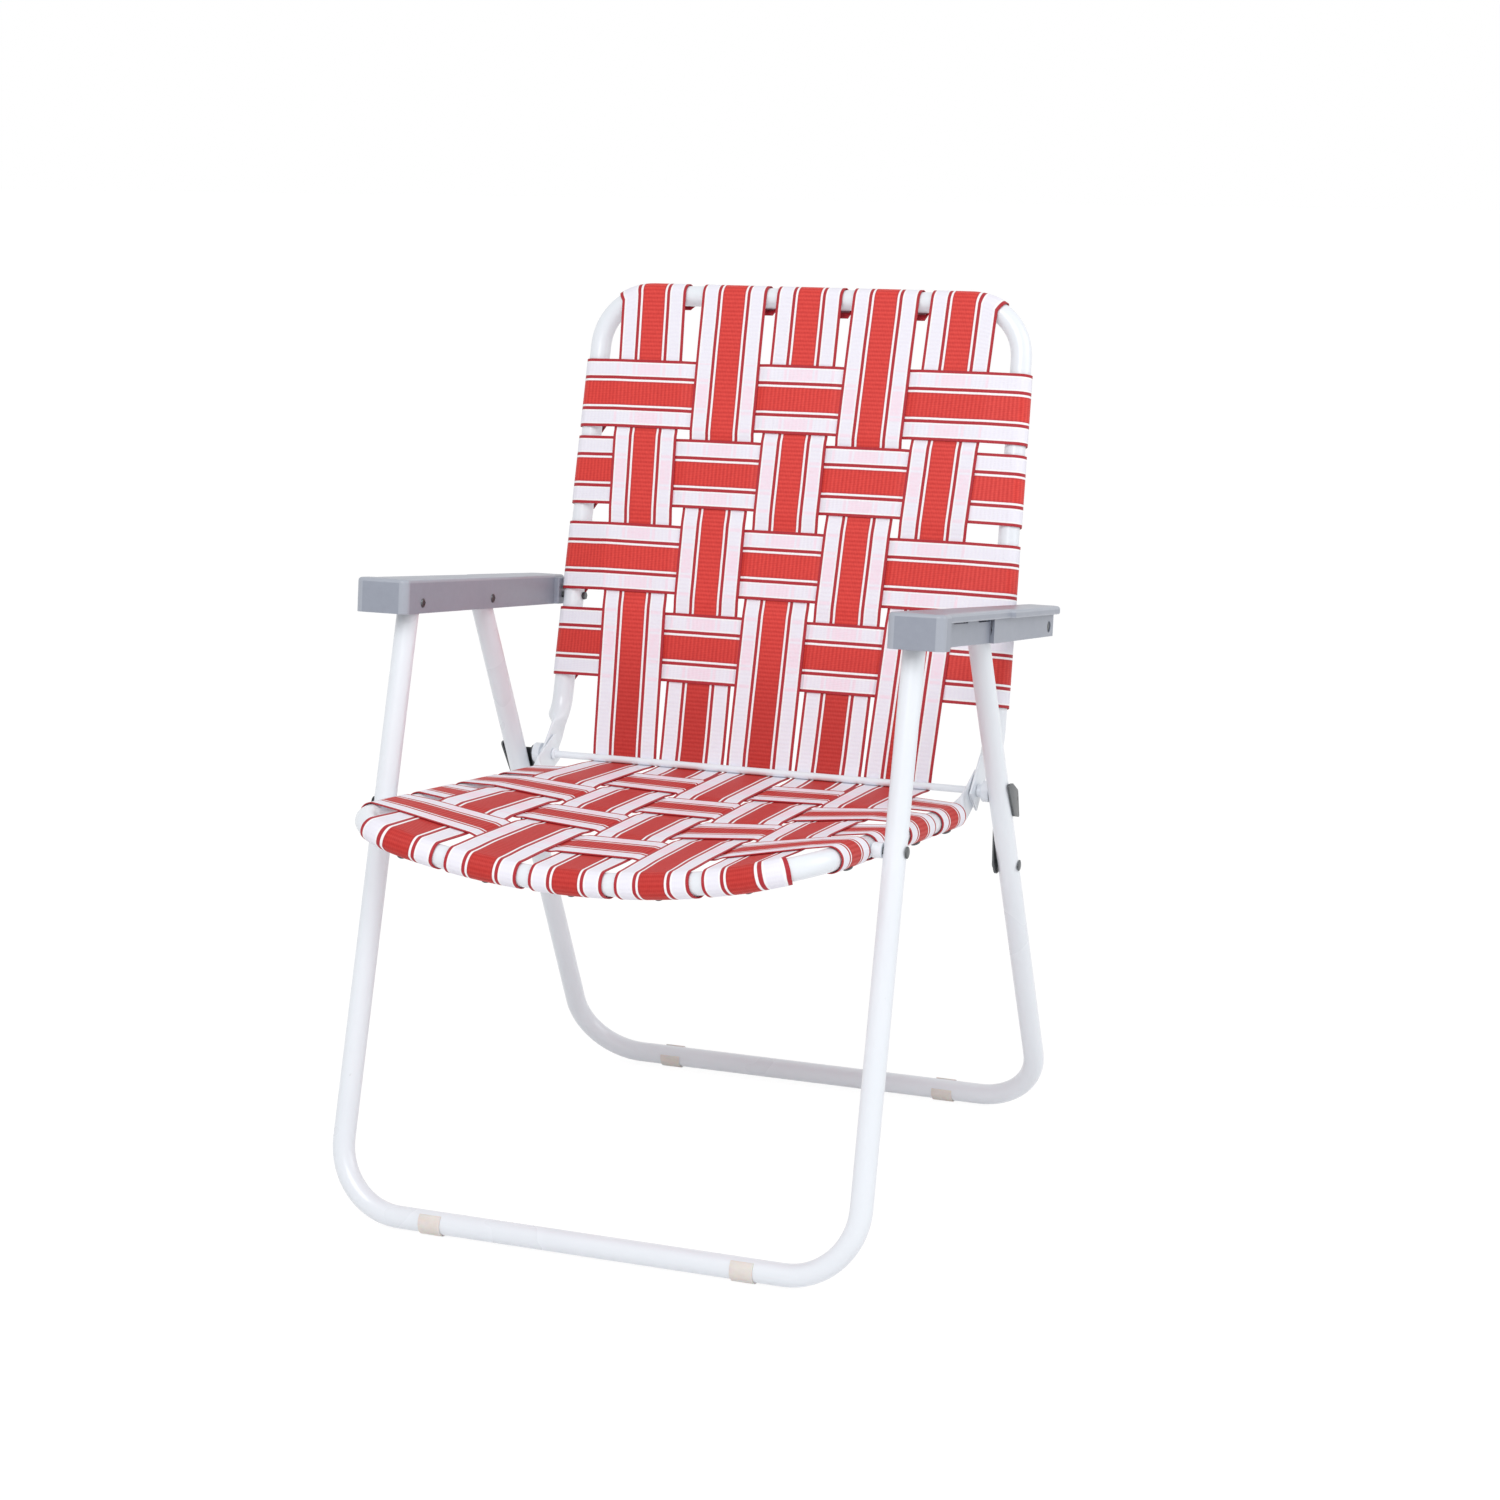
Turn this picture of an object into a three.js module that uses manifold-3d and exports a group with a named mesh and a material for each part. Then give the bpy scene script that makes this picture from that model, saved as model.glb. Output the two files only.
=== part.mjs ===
import * as THREE from "three";
import { mergeVertices } from "three/addons/utils/BufferGeometryUtils.js";
import Module from "manifold-3d";

// A folding lawn chair: four bent steel tubes, two moulded arms and woven webbing.
// Millimetres, +Z up. The seat faces -Y. Left is -X, as seen from the front.

// Tube stock
const tubeRadius = 9.5;
const tubeWall = 1;
const tubeSides = 12;
const bendSteps = 5;

// Clearances
const fitGap = 0.3; // between pieces that touch
const pinGap = 0.35; // round a pin in its hole
const wrapGap = 0.8; // between a tube and the straps round it

// Legs and floor bars
const frontLegTopX = 229.8; // at the arm pivot
const frontLegFootX = 234.8;
const rearLegX = 235.8;
const floorBarSpread = 509.2;
const legBendRadius = 60;
const legPastPivot = 10;
const bandWall = 1;
const bandLength = 20;
const bandPlace = 141;
const bandMouth = 6.4; // from the bar's axis to the open side, up the leg

// Arm pivots in the side view: the front leg's is given, the others lie along the arm
const armPivotY = -112.7;
const armPivotZ = 511.8;
const armSlope = THREE.MathUtils.degToRad(6.64);
const rearLegReach = 146.3;
const backReach = 296.8;

// Moulded arm, measured from its inner face, from the front pivot and from the pivot line
const armWall = 2;
const armLegPlay = 1.7;
const armFrontReach = 33;
const armRearPast = 15.5;
const armBlockLength = 18;
const armBlockWidth = 48;
const armLipWidth = 42.6;
const armLipStep = 3.5;
const armLipStepPast = 18.7; // behind the rear leg's pivot
const armLipDepth = 8;
const armOuterWall = 30.7;
const armWallStepAhead = 13.3; // ahead of the rear leg's pivot
const armWallStep = 7.6;
const armBottomDrop = 9;
const armTopRise = 20.5;
const armTopFall = 0.11; // of the rise, from front to rear
const armRoofThickness = 3;
const armCornerRadius = 6;
const armEndRadius = 11;
const armEdgeRound = 1.6;

// Seat frame
const seatPivotDrop = 173.8; // from the arm pivot, down the front leg
const seatX = 203;
const seatSlope = THREE.MathUtils.degToRad(5.4);
const seatFrontY = -280;
const seatFrontDip = 31;
const seatCornerRadius = 48;
const seatBendAhead = 35.5; // ahead of the hinge
const seatBendRadius = 28;

// Back frame
const backRecline = THREE.MathUtils.degToRad(13.4);
const backX = 211.9; // at the arm bolt
const backTaper = 0.019; // inwards, per length up the back
const backTopRise = 287; // from the arm bolt, up the back
const backCornerRadius = 50;
const backBendDrop = 105;
const backBendRadius = 34;

// Hinge of seat and back
const hingeUpLeg = 69.818; // above the link rivet, along the rear leg
const hingeBehindLeg = 12.961;
const hingeRodRadius = 3.25;
const hingeSpacerRadius = 5.5;
const hingeBossRadius = 8.8; // of the spacer's outer end
const hingeBossLength = 7;
const rodCollarRadius = 5.5;
const rodCollarLength = 3;
const plateThickness = 2.8;
const plateX = 209.9; // middle of the back's plate
const plateHalfHeight = 14;
const plateTip = 12.5; // past the hinge
const plateReach = 24; // flat length on the tube's side of the hinge
const plateFade = 20; // from flat to round
const plateSlit = 0.4;

// Lock links
const linkRivetDrop = 250; // from the arm pivot, down the rear leg
const linkMetal = 1.7;
const linkPlay = 0.6;
const linkLowerRadius = 9;
const linkUpperRadius = 10.5;
const linkHookTop = 86; // up the leg from the rivet
const linkHookFoot = 45.4;
const linkHookFront = 5; // ahead of the leg's axis
const linkHookBack = 17.7; // behind it
const linkHookCut = 10.7; // off the upper rear corner

// Pins and screws
const boltRadius = 3;
const boltHeadRadius = 5;
const boltHeadHeight = 0.9;
const nutHeight = 2.6;
const rivetHeadHeight = 1.2;
const seatSpacerRadius = 6.5;
const pinSides = 10;

// Webbing
const strapWidth = 64;
const strapThickness = 1;
const weaveGap = 0.4;
const weaveMargin = 1;
const wrapStep = 30; // degrees
const wrapEnd = 215;
const innerSpans = 2;
const outerSpans = 6;
const longStrapCount = 5;
const longStrapTopPitch = 74.5;
const longStrapTopEdge = 152.5; // the outermost ones, at the top bar
const longStrapTopShift = 3; // the inner ones, to the right
const longStrapRodPitch = 67;
const longStrapFrontPitch = 75;
const backCrossFirst = 695; // height of the upper edge at the side tubes
const backCrossFirstPitch = 71;
const backCrossPitch = 79;
const backCrossCount = 4;
const seatCrossFirst = -203;
const seatCrossPitch = 83;
const seatCrossCount = 4;

// Finishes
const whitePaint = { color: 0xf1f2f5, roughness: 0.3, metalness: 0.1 };
const armPlastic = { color: 0x9ea4b0, roughness: 0.45, metalness: 0 };
const zincPlate = { color: 0x9b9ea1, roughness: 0.35, metalness: 0.9 };
const bandPlastic = { color: 0xe7ddd3, roughness: 0.5, metalness: 0 };
const redWebbing = { color: 0xdd4a45, roughness: 0.7, metalness: 0 };

const at = (x, y, z) => new THREE.Vector3(x, y, z);
const xAxis = at(1, 0, 0);
const upward = at(0, 0, 1);
const sides = { left: -1, right: 1 };

const wasm = await Module();
wasm.setup();

function solidOf(geometry) {
  const bare = geometry.clone();
  bare.deleteAttribute("normal");
  bare.deleteAttribute("uv");
  const merged = mergeVertices(bare, 1e-4);
  return new wasm.Manifold(
    new wasm.Mesh({
      numProp: 3,
      vertProperties: new Float32Array(merged.attributes.position.array),
      triVerts: new Uint32Array(merged.index.array),
    }),
  );
}

function geometryOf(solid) {
  const mesh = solid.getMesh();
  const geometry = new THREE.BufferGeometry();
  geometry.setAttribute("position", new THREE.BufferAttribute(mesh.vertProperties, 3));
  geometry.setIndex(new THREE.BufferAttribute(mesh.triVerts, 1));
  return geometry;
}

function cut(geometry, tools) {
  return geometryOf(tools.reduce((solid, tool) => solid.subtract(solidOf(tool)), solidOf(geometry)));
}

// Rings of points joined into a closed skin: cyclic joins the last ring to the first.
function loft(rings, cyclic = false) {
  const count = rings[0].length;
  const index = [];
  const spans = cyclic ? rings.length : rings.length - 1;
  for (let i = 0; i < spans; i++) {
    const here = i * count;
    const next = ((i + 1) % rings.length) * count;
    for (let j = 0; j < count; j++) {
      const k = (j + 1) % count;
      index.push(here + j, here + k, next + k, here + j, next + k, next + j);
    }
  }
  if (!cyclic) {
    const last = (rings.length - 1) * count;
    for (let j = 0; j < count / 2 - 1; j++) {
      const k = count - 1 - j;
      index.push(j, k, k - 1, j, k - 1, j + 1);
      index.push(last + j, last + k - 1, last + k, last + j, last + j + 1, last + k - 1);
    }
  }
  const geometry = new THREE.BufferGeometry().setFromPoints(rings.flat());
  geometry.setIndex(index);
  return geometry;
}

// A polyline with its corners rounded: each corner is a point and, where it bends, a radius.
function roundedPath(corners) {
  return corners.flatMap(({ point, radius }, i) => {
    if (!radius) return [point];
    const back = corners[i - 1].point.clone().sub(point).normalize();
    const ahead = corners[i + 1].point.clone().sub(point).normalize();
    const half = back.angleTo(ahead) / 2;
    const middle = back.clone().add(ahead).normalize();
    const centre = point.clone().addScaledVector(middle, radius / Math.sin(half));
    const start = point.clone().addScaledVector(back, radius / Math.tan(half)).sub(centre);
    const axis = ahead.clone().cross(back).normalize();
    const sweep = Math.PI - 2 * half;
    return Array.from({ length: bendSteps + 1 }, (_, k) =>
      start.clone().applyAxisAngle(axis, (sweep * k) / bendSteps).add(centre),
    );
  });
}

const mirrored = (corners) =>
  corners.map(({ point, radius }) => ({ point: at(-point.x, point.y, point.z), radius })).reverse();

// Extra points on a path at the given distances from both of its ends.
function withStops(path, stops) {
  const lengths = pathLengths(path);
  const total = lengths[lengths.length - 1];
  const wanted = stops.flatMap((stop) => [stop, total - stop]);
  const placed = path.map((point, i) => ({ point, along: lengths[i] }));
  for (const along of wanted) {
    const i = lengths.findIndex((length) => length > along);
    const share = (along - lengths[i - 1]) / (lengths[i] - lengths[i - 1]);
    if (Math.min(along - lengths[i - 1], lengths[i] - along) < fitGap) continue;
    placed.push({ point: path[i - 1].clone().lerp(path[i], share), along });
  }
  return placed.sort((a, b) => a.along - b.along).map(({ point }) => point);
}

function pathLengths(path) {
  let sum = 0;
  return path.map((point, i) => (sum += i ? point.distanceTo(path[i - 1]) : 0));
}

function tangentAt(path, i) {
  const before = path[Math.max(i - 1, 0)];
  const after = path[Math.min(i + 1, path.length - 1)];
  const come = path[i].clone().sub(before).normalize();
  const go = after.clone().sub(path[i]).normalize();
  return come.add(go).normalize();
}

// Where a path crosses a plane of constant x, with its direction there.
function crossing(path, x) {
  const spans = (p, k) => k > 0 && p.x !== path[k - 1].x && (p.x - x) * (path[k - 1].x - x) <= 0;
  const i = path.findIndex(spans);
  const share = (x - path[i - 1].x) / (path[i].x - path[i - 1].x);
  const tangent = tangentAt(path, i - 1).lerp(tangentAt(path, i), share).normalize();
  return { point: path[i - 1].clone().lerp(path[i], share), tangent };
}

// A bent tube with an open bore. flat presses both ends into upright plates and moves them sideways.
function bentTube(path, planeNormal, flat) {
  const stops = [1, 0.75, 0.5, 0.25, 0].map((share) => plateTip + plateReach + share * plateFade);
  const line = flat ? withStops(path, stops) : path;
  const lengths = pathLengths(line);
  const total = lengths[lengths.length - 1];
  const wall = (shrink) =>
    line.map((point, i) => {
      const fromEnd = Math.min(lengths[i], total - lengths[i]) - plateTip - plateReach;
      const pressed = flat ? 1 - THREE.MathUtils.smoothstep(fromEnd / plateFade, 0, 1) : 0;
      const tangent = tangentAt(line, i);
      const lateral = tangent.clone().cross(planeNormal).normalize();
      const upright = tangent.clone().cross(lateral);
      const thin = shrink ? plateSlit / 2 : plateThickness / 2;
      const tall = THREE.MathUtils.lerp(tubeRadius, plateHalfHeight, pressed) - shrink;
      const thick = THREE.MathUtils.lerp(tubeRadius - shrink, thin, pressed);
      const power = THREE.MathUtils.lerp(1, 0.5, pressed);
      const squared = (value) => Math.sign(value) * Math.abs(value) ** power;
      const centre = point.clone();
      if (flat) centre.x += Math.sign(point.x) * pressed * flat.shift;
      return Array.from({ length: tubeSides }, (_, k) => {
        const angle = ((k + 0.5) / tubeSides) * 2 * Math.PI;
        return centre
          .clone()
          .addScaledVector(lateral, thick * squared(Math.cos(angle)))
          .addScaledVector(upright, tall * squared(Math.sin(angle)));
      });
    });
  return loft([...wall(0), ...wall(tubeWall).reverse()], true);
}

// A piece turned about the X axis: its profile is a list of [radius, distance along the axis].
function turned(profile, side = 1, around = pinSides) {
  const points = profile.map(([radius, along]) => new THREE.Vector2(radius, along));
  return new THREE.LatheGeometry(points, around).rotateZ((-side * Math.PI) / 2);
}

const sleeve = (inner, outer, start, end, side) =>
  turned([[inner, start], [outer, start], [outer, end], [inner, end], [inner, start]], side);

const headedPin = (radius, head, stations) => {
  const [outerStart, innerStart, innerEnd, outerEnd] = stations;
  const profile = [[0, outerStart], [head, outerStart], [head, innerStart], [radius, innerStart]];
  if (outerEnd > innerEnd)
    profile.push([radius, innerEnd], [head, innerEnd], [head, outerEnd], [0, outerEnd]);
  else profile.push([radius, innerEnd], [0, innerEnd]);
  return profile;
};

// A hole along X through whatever stands between two planes of x, on one side of the chair.
function hole(radius, pivot, side, near, far) {
  const tool = new THREE.CylinderGeometry(radius, radius, far - near, pinSides);
  return tool.rotateZ(Math.PI / 2).translate((side * (near + far)) / 2, pivot.y, pivot.z);
}

const chair = new THREE.Group();

function add(name, geometry, finish, parent = chair) {
  const mesh = new THREE.Mesh(geometry, new THREE.MeshStandardMaterial(finish));
  mesh.name = name;
  parent.add(mesh);
  return mesh;
}

// Side view: the pivots of the folding linkage.
const facet = Math.cos(Math.PI / tubeSides);
const bandInner = (tubeRadius + fitGap) / facet;
const bandOuter = bandInner + bandWall;
const flatOfBand = bandOuter * facet;
const floorBarZ = flatOfBand;
const frontBar = at(0, -floorBarSpread / 2, floorBarZ);
const rearBar = at(0, floorBarSpread / 2, floorBarZ);
const alongArm = at(0, Math.cos(armSlope), -Math.sin(armSlope));
const frontArmPivot = at(0, armPivotY, armPivotZ);
const rearArmPivot = frontArmPivot.clone().addScaledVector(alongArm, rearLegReach);
const backArmPivot = frontArmPivot.clone().addScaledVector(alongArm, backReach);
const downFrontLeg = frontBar.clone().sub(frontArmPivot).normalize();
const downRearLeg = rearBar.clone().sub(rearArmPivot).normalize();
const seatPivot = frontArmPivot.clone().addScaledVector(downFrontLeg, seatPivotDrop);
const behindLeg = xAxis.clone().cross(downRearLeg);
const linkRivet = rearArmPivot.clone().addScaledVector(downRearLeg, linkRivetDrop);
const hinge = linkRivet
  .clone()
  .addScaledVector(downRearLeg, -hingeUpLeg)
  .addScaledVector(behindLeg, hingeBehindLeg);

// Across the chair: each piece stands beside the next.
const frontLegX = (drop) =>
  THREE.MathUtils.lerp(frontLegTopX, frontLegFootX, drop / frontBar.distanceTo(frontArmPivot));
const armInnerX = frontLegTopX - tubeRadius - armLegPlay - armWall;
const armSlant = (rearLegX - frontLegTopX) / rearLegReach;
const seatPlateX = plateX - plateThickness - fitGap;
const linkInnerX = rearLegX - tubeRadius - linkPlay - linkMetal;
const linkOuterX = rearLegX + tubeRadius + linkPlay + linkMetal;
const spacerOuterX = linkInnerX - 2 * fitGap;

// Leg frames
const legHoleReach = tubeRadius + fitGap;
function legFrame(name, pivot, bar, legX, pinDrop) {
  const down = bar.clone().sub(pivot).normalize();
  const along = (drop) => pivot.clone().addScaledVector(down, drop).setX(legX(drop));
  const foot = along(bar.distanceTo(pivot));
  const half = [{ point: along(-legPastPivot) }, { point: foot, radius: legBendRadius }];
  const path = roundedPath([...half, ...mirrored(half)]);
  const holes = Object.values(sides).flatMap((side) =>
    [0, pinDrop].map((drop) =>
      hole(boltRadius + pinGap, along(drop), side, legX(drop) - legHoleReach, legX(drop) + legHoleReach),
    ),
  );
  add(name, cut(bentTube(path, down.clone().cross(xAxis)), holes), whitePaint);
}
legFrame("front_leg_frame", frontArmPivot, frontBar, frontLegX, seatPivotDrop);
legFrame("rear_leg_frame", rearArmPivot, rearBar, () => rearLegX, linkRivetDrop);

// Foot bands: clips round the floor bars, open towards the legs.
const bandProfile = [
  [bandInner, 0],
  [bandOuter, 0],
  [bandOuter, bandLength],
  [bandInner, bandLength],
  [bandInner, 0],
].map(([radius, along]) => new THREE.Vector2(radius, along));
for (const [row, bar, down] of [
  ["front", frontBar, downFrontLeg],
  ["rear", rearBar, downRearLeg],
])
  for (const [hand, side] of Object.entries(sides)) {
    const band = new THREE.LatheGeometry(bandProfile, tubeSides, Math.PI / tubeSides).rotateZ(-Math.PI / 2);
    const mouth = new THREE.BoxGeometry(4 * bandLength, 4 * bandOuter, 2 * bandOuter);
    mouth.translate(0, 0, bandMouth + bandOuter).rotateX(Math.atan2(down.y, -down.z));
    const mesh = add(`${row}_foot_band_${hand}`, cut(band, [mouth]), bandPlastic);
    mesh.position.set(side * bandPlace - bandLength / 2, bar.y, bar.z);
  }

// Seat frame: the sides slope down to the rear, then rise to the hinge.
const seatTubeZ = (y) => seatPivot.z - (y - seatPivot.y) * Math.tan(seatSlope);
const seatBarZ = (x) => seatTubeZ(seatFrontY) - seatFrontDip * (1 - (x / seatX) ** 2);
const seatBendY = hinge.y - seatBendAhead;
const seatBend = at(0, seatBendY, seatTubeZ(seatBendY));
const seatTip = hinge.clone().addScaledVector(hinge.clone().sub(seatBend).normalize(), plateTip);
const dipPlaces = [0.73, 0.5, 0.25].map((share) => share * seatX);
const seatHalf = [
  { point: seatTip.setX(seatX) },
  { point: seatBend.setX(seatX), radius: seatBendRadius },
  { point: at(seatX, seatFrontY, seatBarZ(seatX)), radius: seatCornerRadius },
  ...dipPlaces.map((x) => ({ point: at(x, seatFrontY, seatBarZ(x)) })),
];
const seatMiddle = { point: at(0, seatFrontY, seatBarZ(0)) };
const seatPath = roundedPath([...seatHalf, seatMiddle, ...mirrored(seatHalf)]);

const rodHoles = (middleX) =>
  Object.values(sides).map((side) =>
    hole(hingeRodRadius + pinGap, hinge, side, middleX - plateThickness, middleX + plateThickness),
  );
const seatPivotHoles = Object.values(sides).map((side) =>
  hole(boltRadius + pinGap, seatPivot, side, seatX - tubeRadius - fitGap, seatX + tubeRadius + fitGap),
);
const seatTube = bentTube(seatPath, upward, { shift: seatPlateX - seatX });
add("seat_frame", cut(seatTube, [...seatPivotHoles, ...rodHoles(seatPlateX)]), whitePaint);

// Back frame: a reclined hoop whose lower ends bend forward to the hinge.
const backUp = at(0, Math.sin(backRecline), Math.cos(backRecline));
const backFront = at(0, -Math.cos(backRecline), Math.sin(backRecline));
const onBack = (x, rise, front) =>
  backArmPivot.clone().setX(x).addScaledVector(backUp, rise).addScaledVector(backFront, front);
const backBend = onBack(0, -backBendDrop, 0);
const backTip = hinge.clone().addScaledVector(hinge.clone().sub(backBend).normalize(), plateTip);
const backXAt = (rise) => backX - backTaper * rise;
const backLowX = backXAt(-backBendDrop);
const backHalf = [
  { point: backTip.setX(backLowX) },
  { point: backBend.setX(backLowX), radius: backBendRadius },
  { point: onBack(backXAt(backTopRise), backTopRise, 0), radius: backCornerRadius },
];
const backPath = roundedPath([...backHalf, ...mirrored(backHalf)]);
const backBoltHoles = Object.values(sides).map((side) =>
  hole(boltRadius + pinGap, backArmPivot, side, backX - tubeRadius - fitGap, backX + tubeRadius + fitGap),
);
const backTube = bentTube(backPath, backFront, { shift: plateX - backLowX });
add("back_frame", cut(backTube, [...backBoltHoles, ...rodHoles(plateX)]), whitePaint);

// Hinge rod and its spacers
const collarX = seatPlateX - plateThickness / 2 - fitGap;
const rodHalf = [
  [0, spacerOuterX],
  [hingeRodRadius, spacerOuterX],
  [hingeRodRadius, collarX],
  [rodCollarRadius, collarX],
  [rodCollarRadius, collarX - rodCollarLength],
  [hingeRodRadius, collarX - rodCollarLength],
];
const rodProfile = [...rodHalf.map(([radius, along]) => [radius, -along]), ...rodHalf.toReversed()];
add("hinge_rod", turned(rodProfile), whitePaint).position.copy(hinge);
for (const [hand, side] of Object.entries(sides)) {
  const start = plateX + plateThickness / 2 + fitGap;
  const boss = spacerOuterX - hingeBossLength;
  const bore = hingeRodRadius + pinGap;
  const spacer = [
    [bore, start],
    [hingeSpacerRadius, start],
    [hingeSpacerRadius, boss],
    [hingeBossRadius, boss],
    [hingeBossRadius, spacerOuterX],
    [bore, spacerOuterX],
    [bore, start],
  ];
  add(`hinge_spacer_${hand}`, turned(spacer, side), whitePaint).position.copy(hinge);
}

// Pins that ride with the legs: seat pivots and link rivets
for (const [hand, side] of Object.entries(sides)) {
  const inner = seatX - tubeRadius - fitGap;
  const legX = frontLegX(seatPivotDrop);
  const outer = legX + tubeRadius + 2 * fitGap;
  const pivotPin = headedPin(boltRadius, boltHeadRadius, [
    inner - rivetHeadHeight,
    inner,
    outer,
    outer + rivetHeadHeight,
  ]);
  add(`seat_pivot_rivet_${hand}`, turned(pivotPin, side), zincPlate).position.copy(seatPivot);

  const spacerStart = seatX + tubeRadius + fitGap;
  const spacerEnd = legX - tubeRadius - 2 * fitGap;
  const spacer = sleeve(boltRadius + pinGap, seatSpacerRadius, spacerStart, spacerEnd, side);
  add(`seat_pivot_spacer_${hand}`, spacer, zincPlate).position.copy(seatPivot);

  const linkIn = linkInnerX - fitGap;
  const linkOut = rearLegX + tubeRadius + fitGap;
  const linkPin = headedPin(boltRadius, boltHeadRadius, [
    linkIn - rivetHeadHeight,
    linkIn,
    linkOut,
    linkOut + rivetHeadHeight,
  ]);
  add(`link_rivet_${hand}`, turned(linkPin, side), zincPlate).position.copy(linkRivet);
}

// Lock links: a plate inside each rear leg, from the leg's rivet up to the hinge. Its upper end
// hooks round the rear of the leg to the outer side.
const hingeOnLeg = hinge.clone().sub(linkRivet);
const linkRise = -hingeOnLeg.dot(downRearLeg);
const linkBehind = hingeOnLeg.dot(behindLeg);
const legLean = Math.atan2(-downRearLeg.y, -downRearLeg.z);

function linkPlate() {
  const lean = Math.atan2(linkBehind, linkRise);
  const taper = Math.asin((linkUpperRadius - linkLowerRadius) / Math.hypot(linkBehind, linkRise));
  const outline = new THREE.Shape();
  outline.absarc(linkBehind, linkRise, linkUpperRadius, -lean - taper, Math.PI - lean + taper);
  outline.absarc(0, 0, linkLowerRadius, Math.PI - lean + taper, 2 * Math.PI - lean - taper);
  return outline;
}

// The hook's rear edge leans from the leg's rear face at its foot to its furthest point behind.
const onLeg = (behind, rise) => new THREE.Vector2(behind, rise);
const hookFoot = onLeg(tubeRadius + linkPlay + linkMetal, linkHookFoot);
const hookBack = onLeg(linkHookBack, linkHookTop - Math.SQRT2 * linkHookCut);
const linkHook = () =>
  new THREE.Shape([
    hookFoot,
    hookBack,
    onLeg(linkHookBack - linkHookCut, linkHookTop),
    onLeg(-linkHookFront, linkHookTop),
    onLeg(0, linkHookFoot + tubeRadius),
  ]);

// Everything ahead of the hook's rear web.
function linkHollow() {
  const reach = 2 * linkRise;
  const rising = hookBack.clone().sub(hookFoot).normalize();
  const inside = hookFoot.clone().addScaledVector(onLeg(-rising.y, rising.x), linkMetal);
  return new THREE.Shape([
    inside.clone().addScaledVector(rising, -reach),
    inside.clone().addScaledVector(rising, reach),
    onLeg(-reach, reach),
    onLeg(-reach, -reach),
  ]);
}

const extruded = (shape, depth, curveSegments = 6) =>
  new THREE.ExtrudeGeometry(shape, { depth, bevelEnabled: false, curveSegments });

// The outlines are drawn with Y behind the leg and Z up it, then set upright across X.
const uprightAcrossX = (geometry) => geometry.rotateX(Math.PI / 2).rotateZ(Math.PI / 2);
for (const [hand, side] of Object.entries(sides)) {
  const width = linkOuterX - linkInnerX;
  const layer = (shape, depth) => solidOf(uprightAcrossX(extruded(shape, depth)));
  const hook = layer(linkHook(), width).subtract(layer(linkHollow(), width).translate(-linkMetal, 0, 0));
  const body = geometryOf(hook.add(layer(linkPlate(), linkMetal)));
  const bore = (radius) =>
    new THREE.CylinderGeometry(radius, radius, 2 * linkMetal + fitGap, pinSides).rotateZ(Math.PI / 2);
  const studHole = bore(hingeRodRadius + pinGap).translate(0, linkBehind, linkRise);
  const shape = cut(body, [bore(boltRadius + pinGap), studHole]);
  const link = add(`lock_link_${hand}`, side > 0 ? shape : mirrorX(shape), zincPlate);
  link.position.set(side * linkInnerX, linkRivet.y, linkRivet.z);
  link.rotation.x = -legLean;

  const studStart = linkInnerX - fitGap;
  const stud = [
    [0, studStart],
    [hingeRodRadius, studStart],
    [hingeRodRadius, linkInnerX + linkMetal],
    [0, linkInnerX + linkMetal],
  ];
  add(`link_stud_${hand}`, turned(stud, side), zincPlate).position.copy(hinge);
}

// Moulded arms, drawn flat from above with Y along the arm, then raised and sloped.
const armEnd = backReach + armRearPast;
const armLength = armEnd + armFrontReach;
const armRearWall = armOuterWall + armWallStep;

// The inner face slants outwards to the rear, as the rear legs stand further apart.
const armLipStepPlace = rearLegReach + armLipStepPast;
const armWallStepPlace = rearLegReach - armWallStepAhead;
const innerFace = (along) => armSlant * along;

function armTop() {
  const outline = new THREE.Shape();
  const front = -armFrontReach;
  const wide = armLipWidth + armLipStep;
  const corner = armCornerRadius;
  const endCorner = innerFace(armEnd - armEndRadius) + armEndRadius;
  outline.moveTo(innerFace(front + corner), front + corner);
  outline.absarc(innerFace(front + corner) + corner, front + corner, corner, Math.PI, 1.5 * Math.PI);
  outline.absarc(armBlockWidth - corner, front + corner, corner, 1.5 * Math.PI, 2 * Math.PI);
  outline.lineTo(armBlockWidth, front + armBlockLength);
  outline.lineTo(armLipWidth, front + armBlockLength + armBlockWidth - armLipWidth);
  outline.lineTo(armLipWidth, armLipStepPlace);
  outline.lineTo(wide, armLipStepPlace + armLipStep);
  outline.absarc(wide - armEndRadius, armEnd - armEndRadius, armEndRadius, 0, 0.5 * Math.PI);
  outline.absarc(endCorner, armEnd - armEndRadius, armEndRadius, 0.5 * Math.PI, Math.PI);
  return outline;
}

// The channel's plan, drawn in by inset for its hollow.
function armChannel(inset) {
  const front = -armFrontReach + inset;
  const end = armEnd - armWall - inset;
  const corner = armCornerRadius - inset;
  const outline = new THREE.Shape();
  const near = innerFace(front + corner) + inset;
  outline.moveTo(near, front + corner);
  outline.absarc(near + corner, front + corner, corner, Math.PI, 1.5 * Math.PI);
  outline.absarc(armBlockWidth - inset - corner, front + corner, corner, 1.5 * Math.PI, 2 * Math.PI);
  outline.lineTo(armBlockWidth - inset, front + armBlockLength - 2 * inset);
  outline.lineTo(armOuterWall - inset, front + armBlockLength - 2 * inset);
  outline.lineTo(armOuterWall - inset, armWallStepPlace + inset);
  outline.lineTo(armRearWall - inset, armWallStepPlace + inset);
  outline.lineTo(armRearWall - inset, end);
  outline.lineTo(innerFace(end) + inset, end);
  return outline;
}

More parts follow.
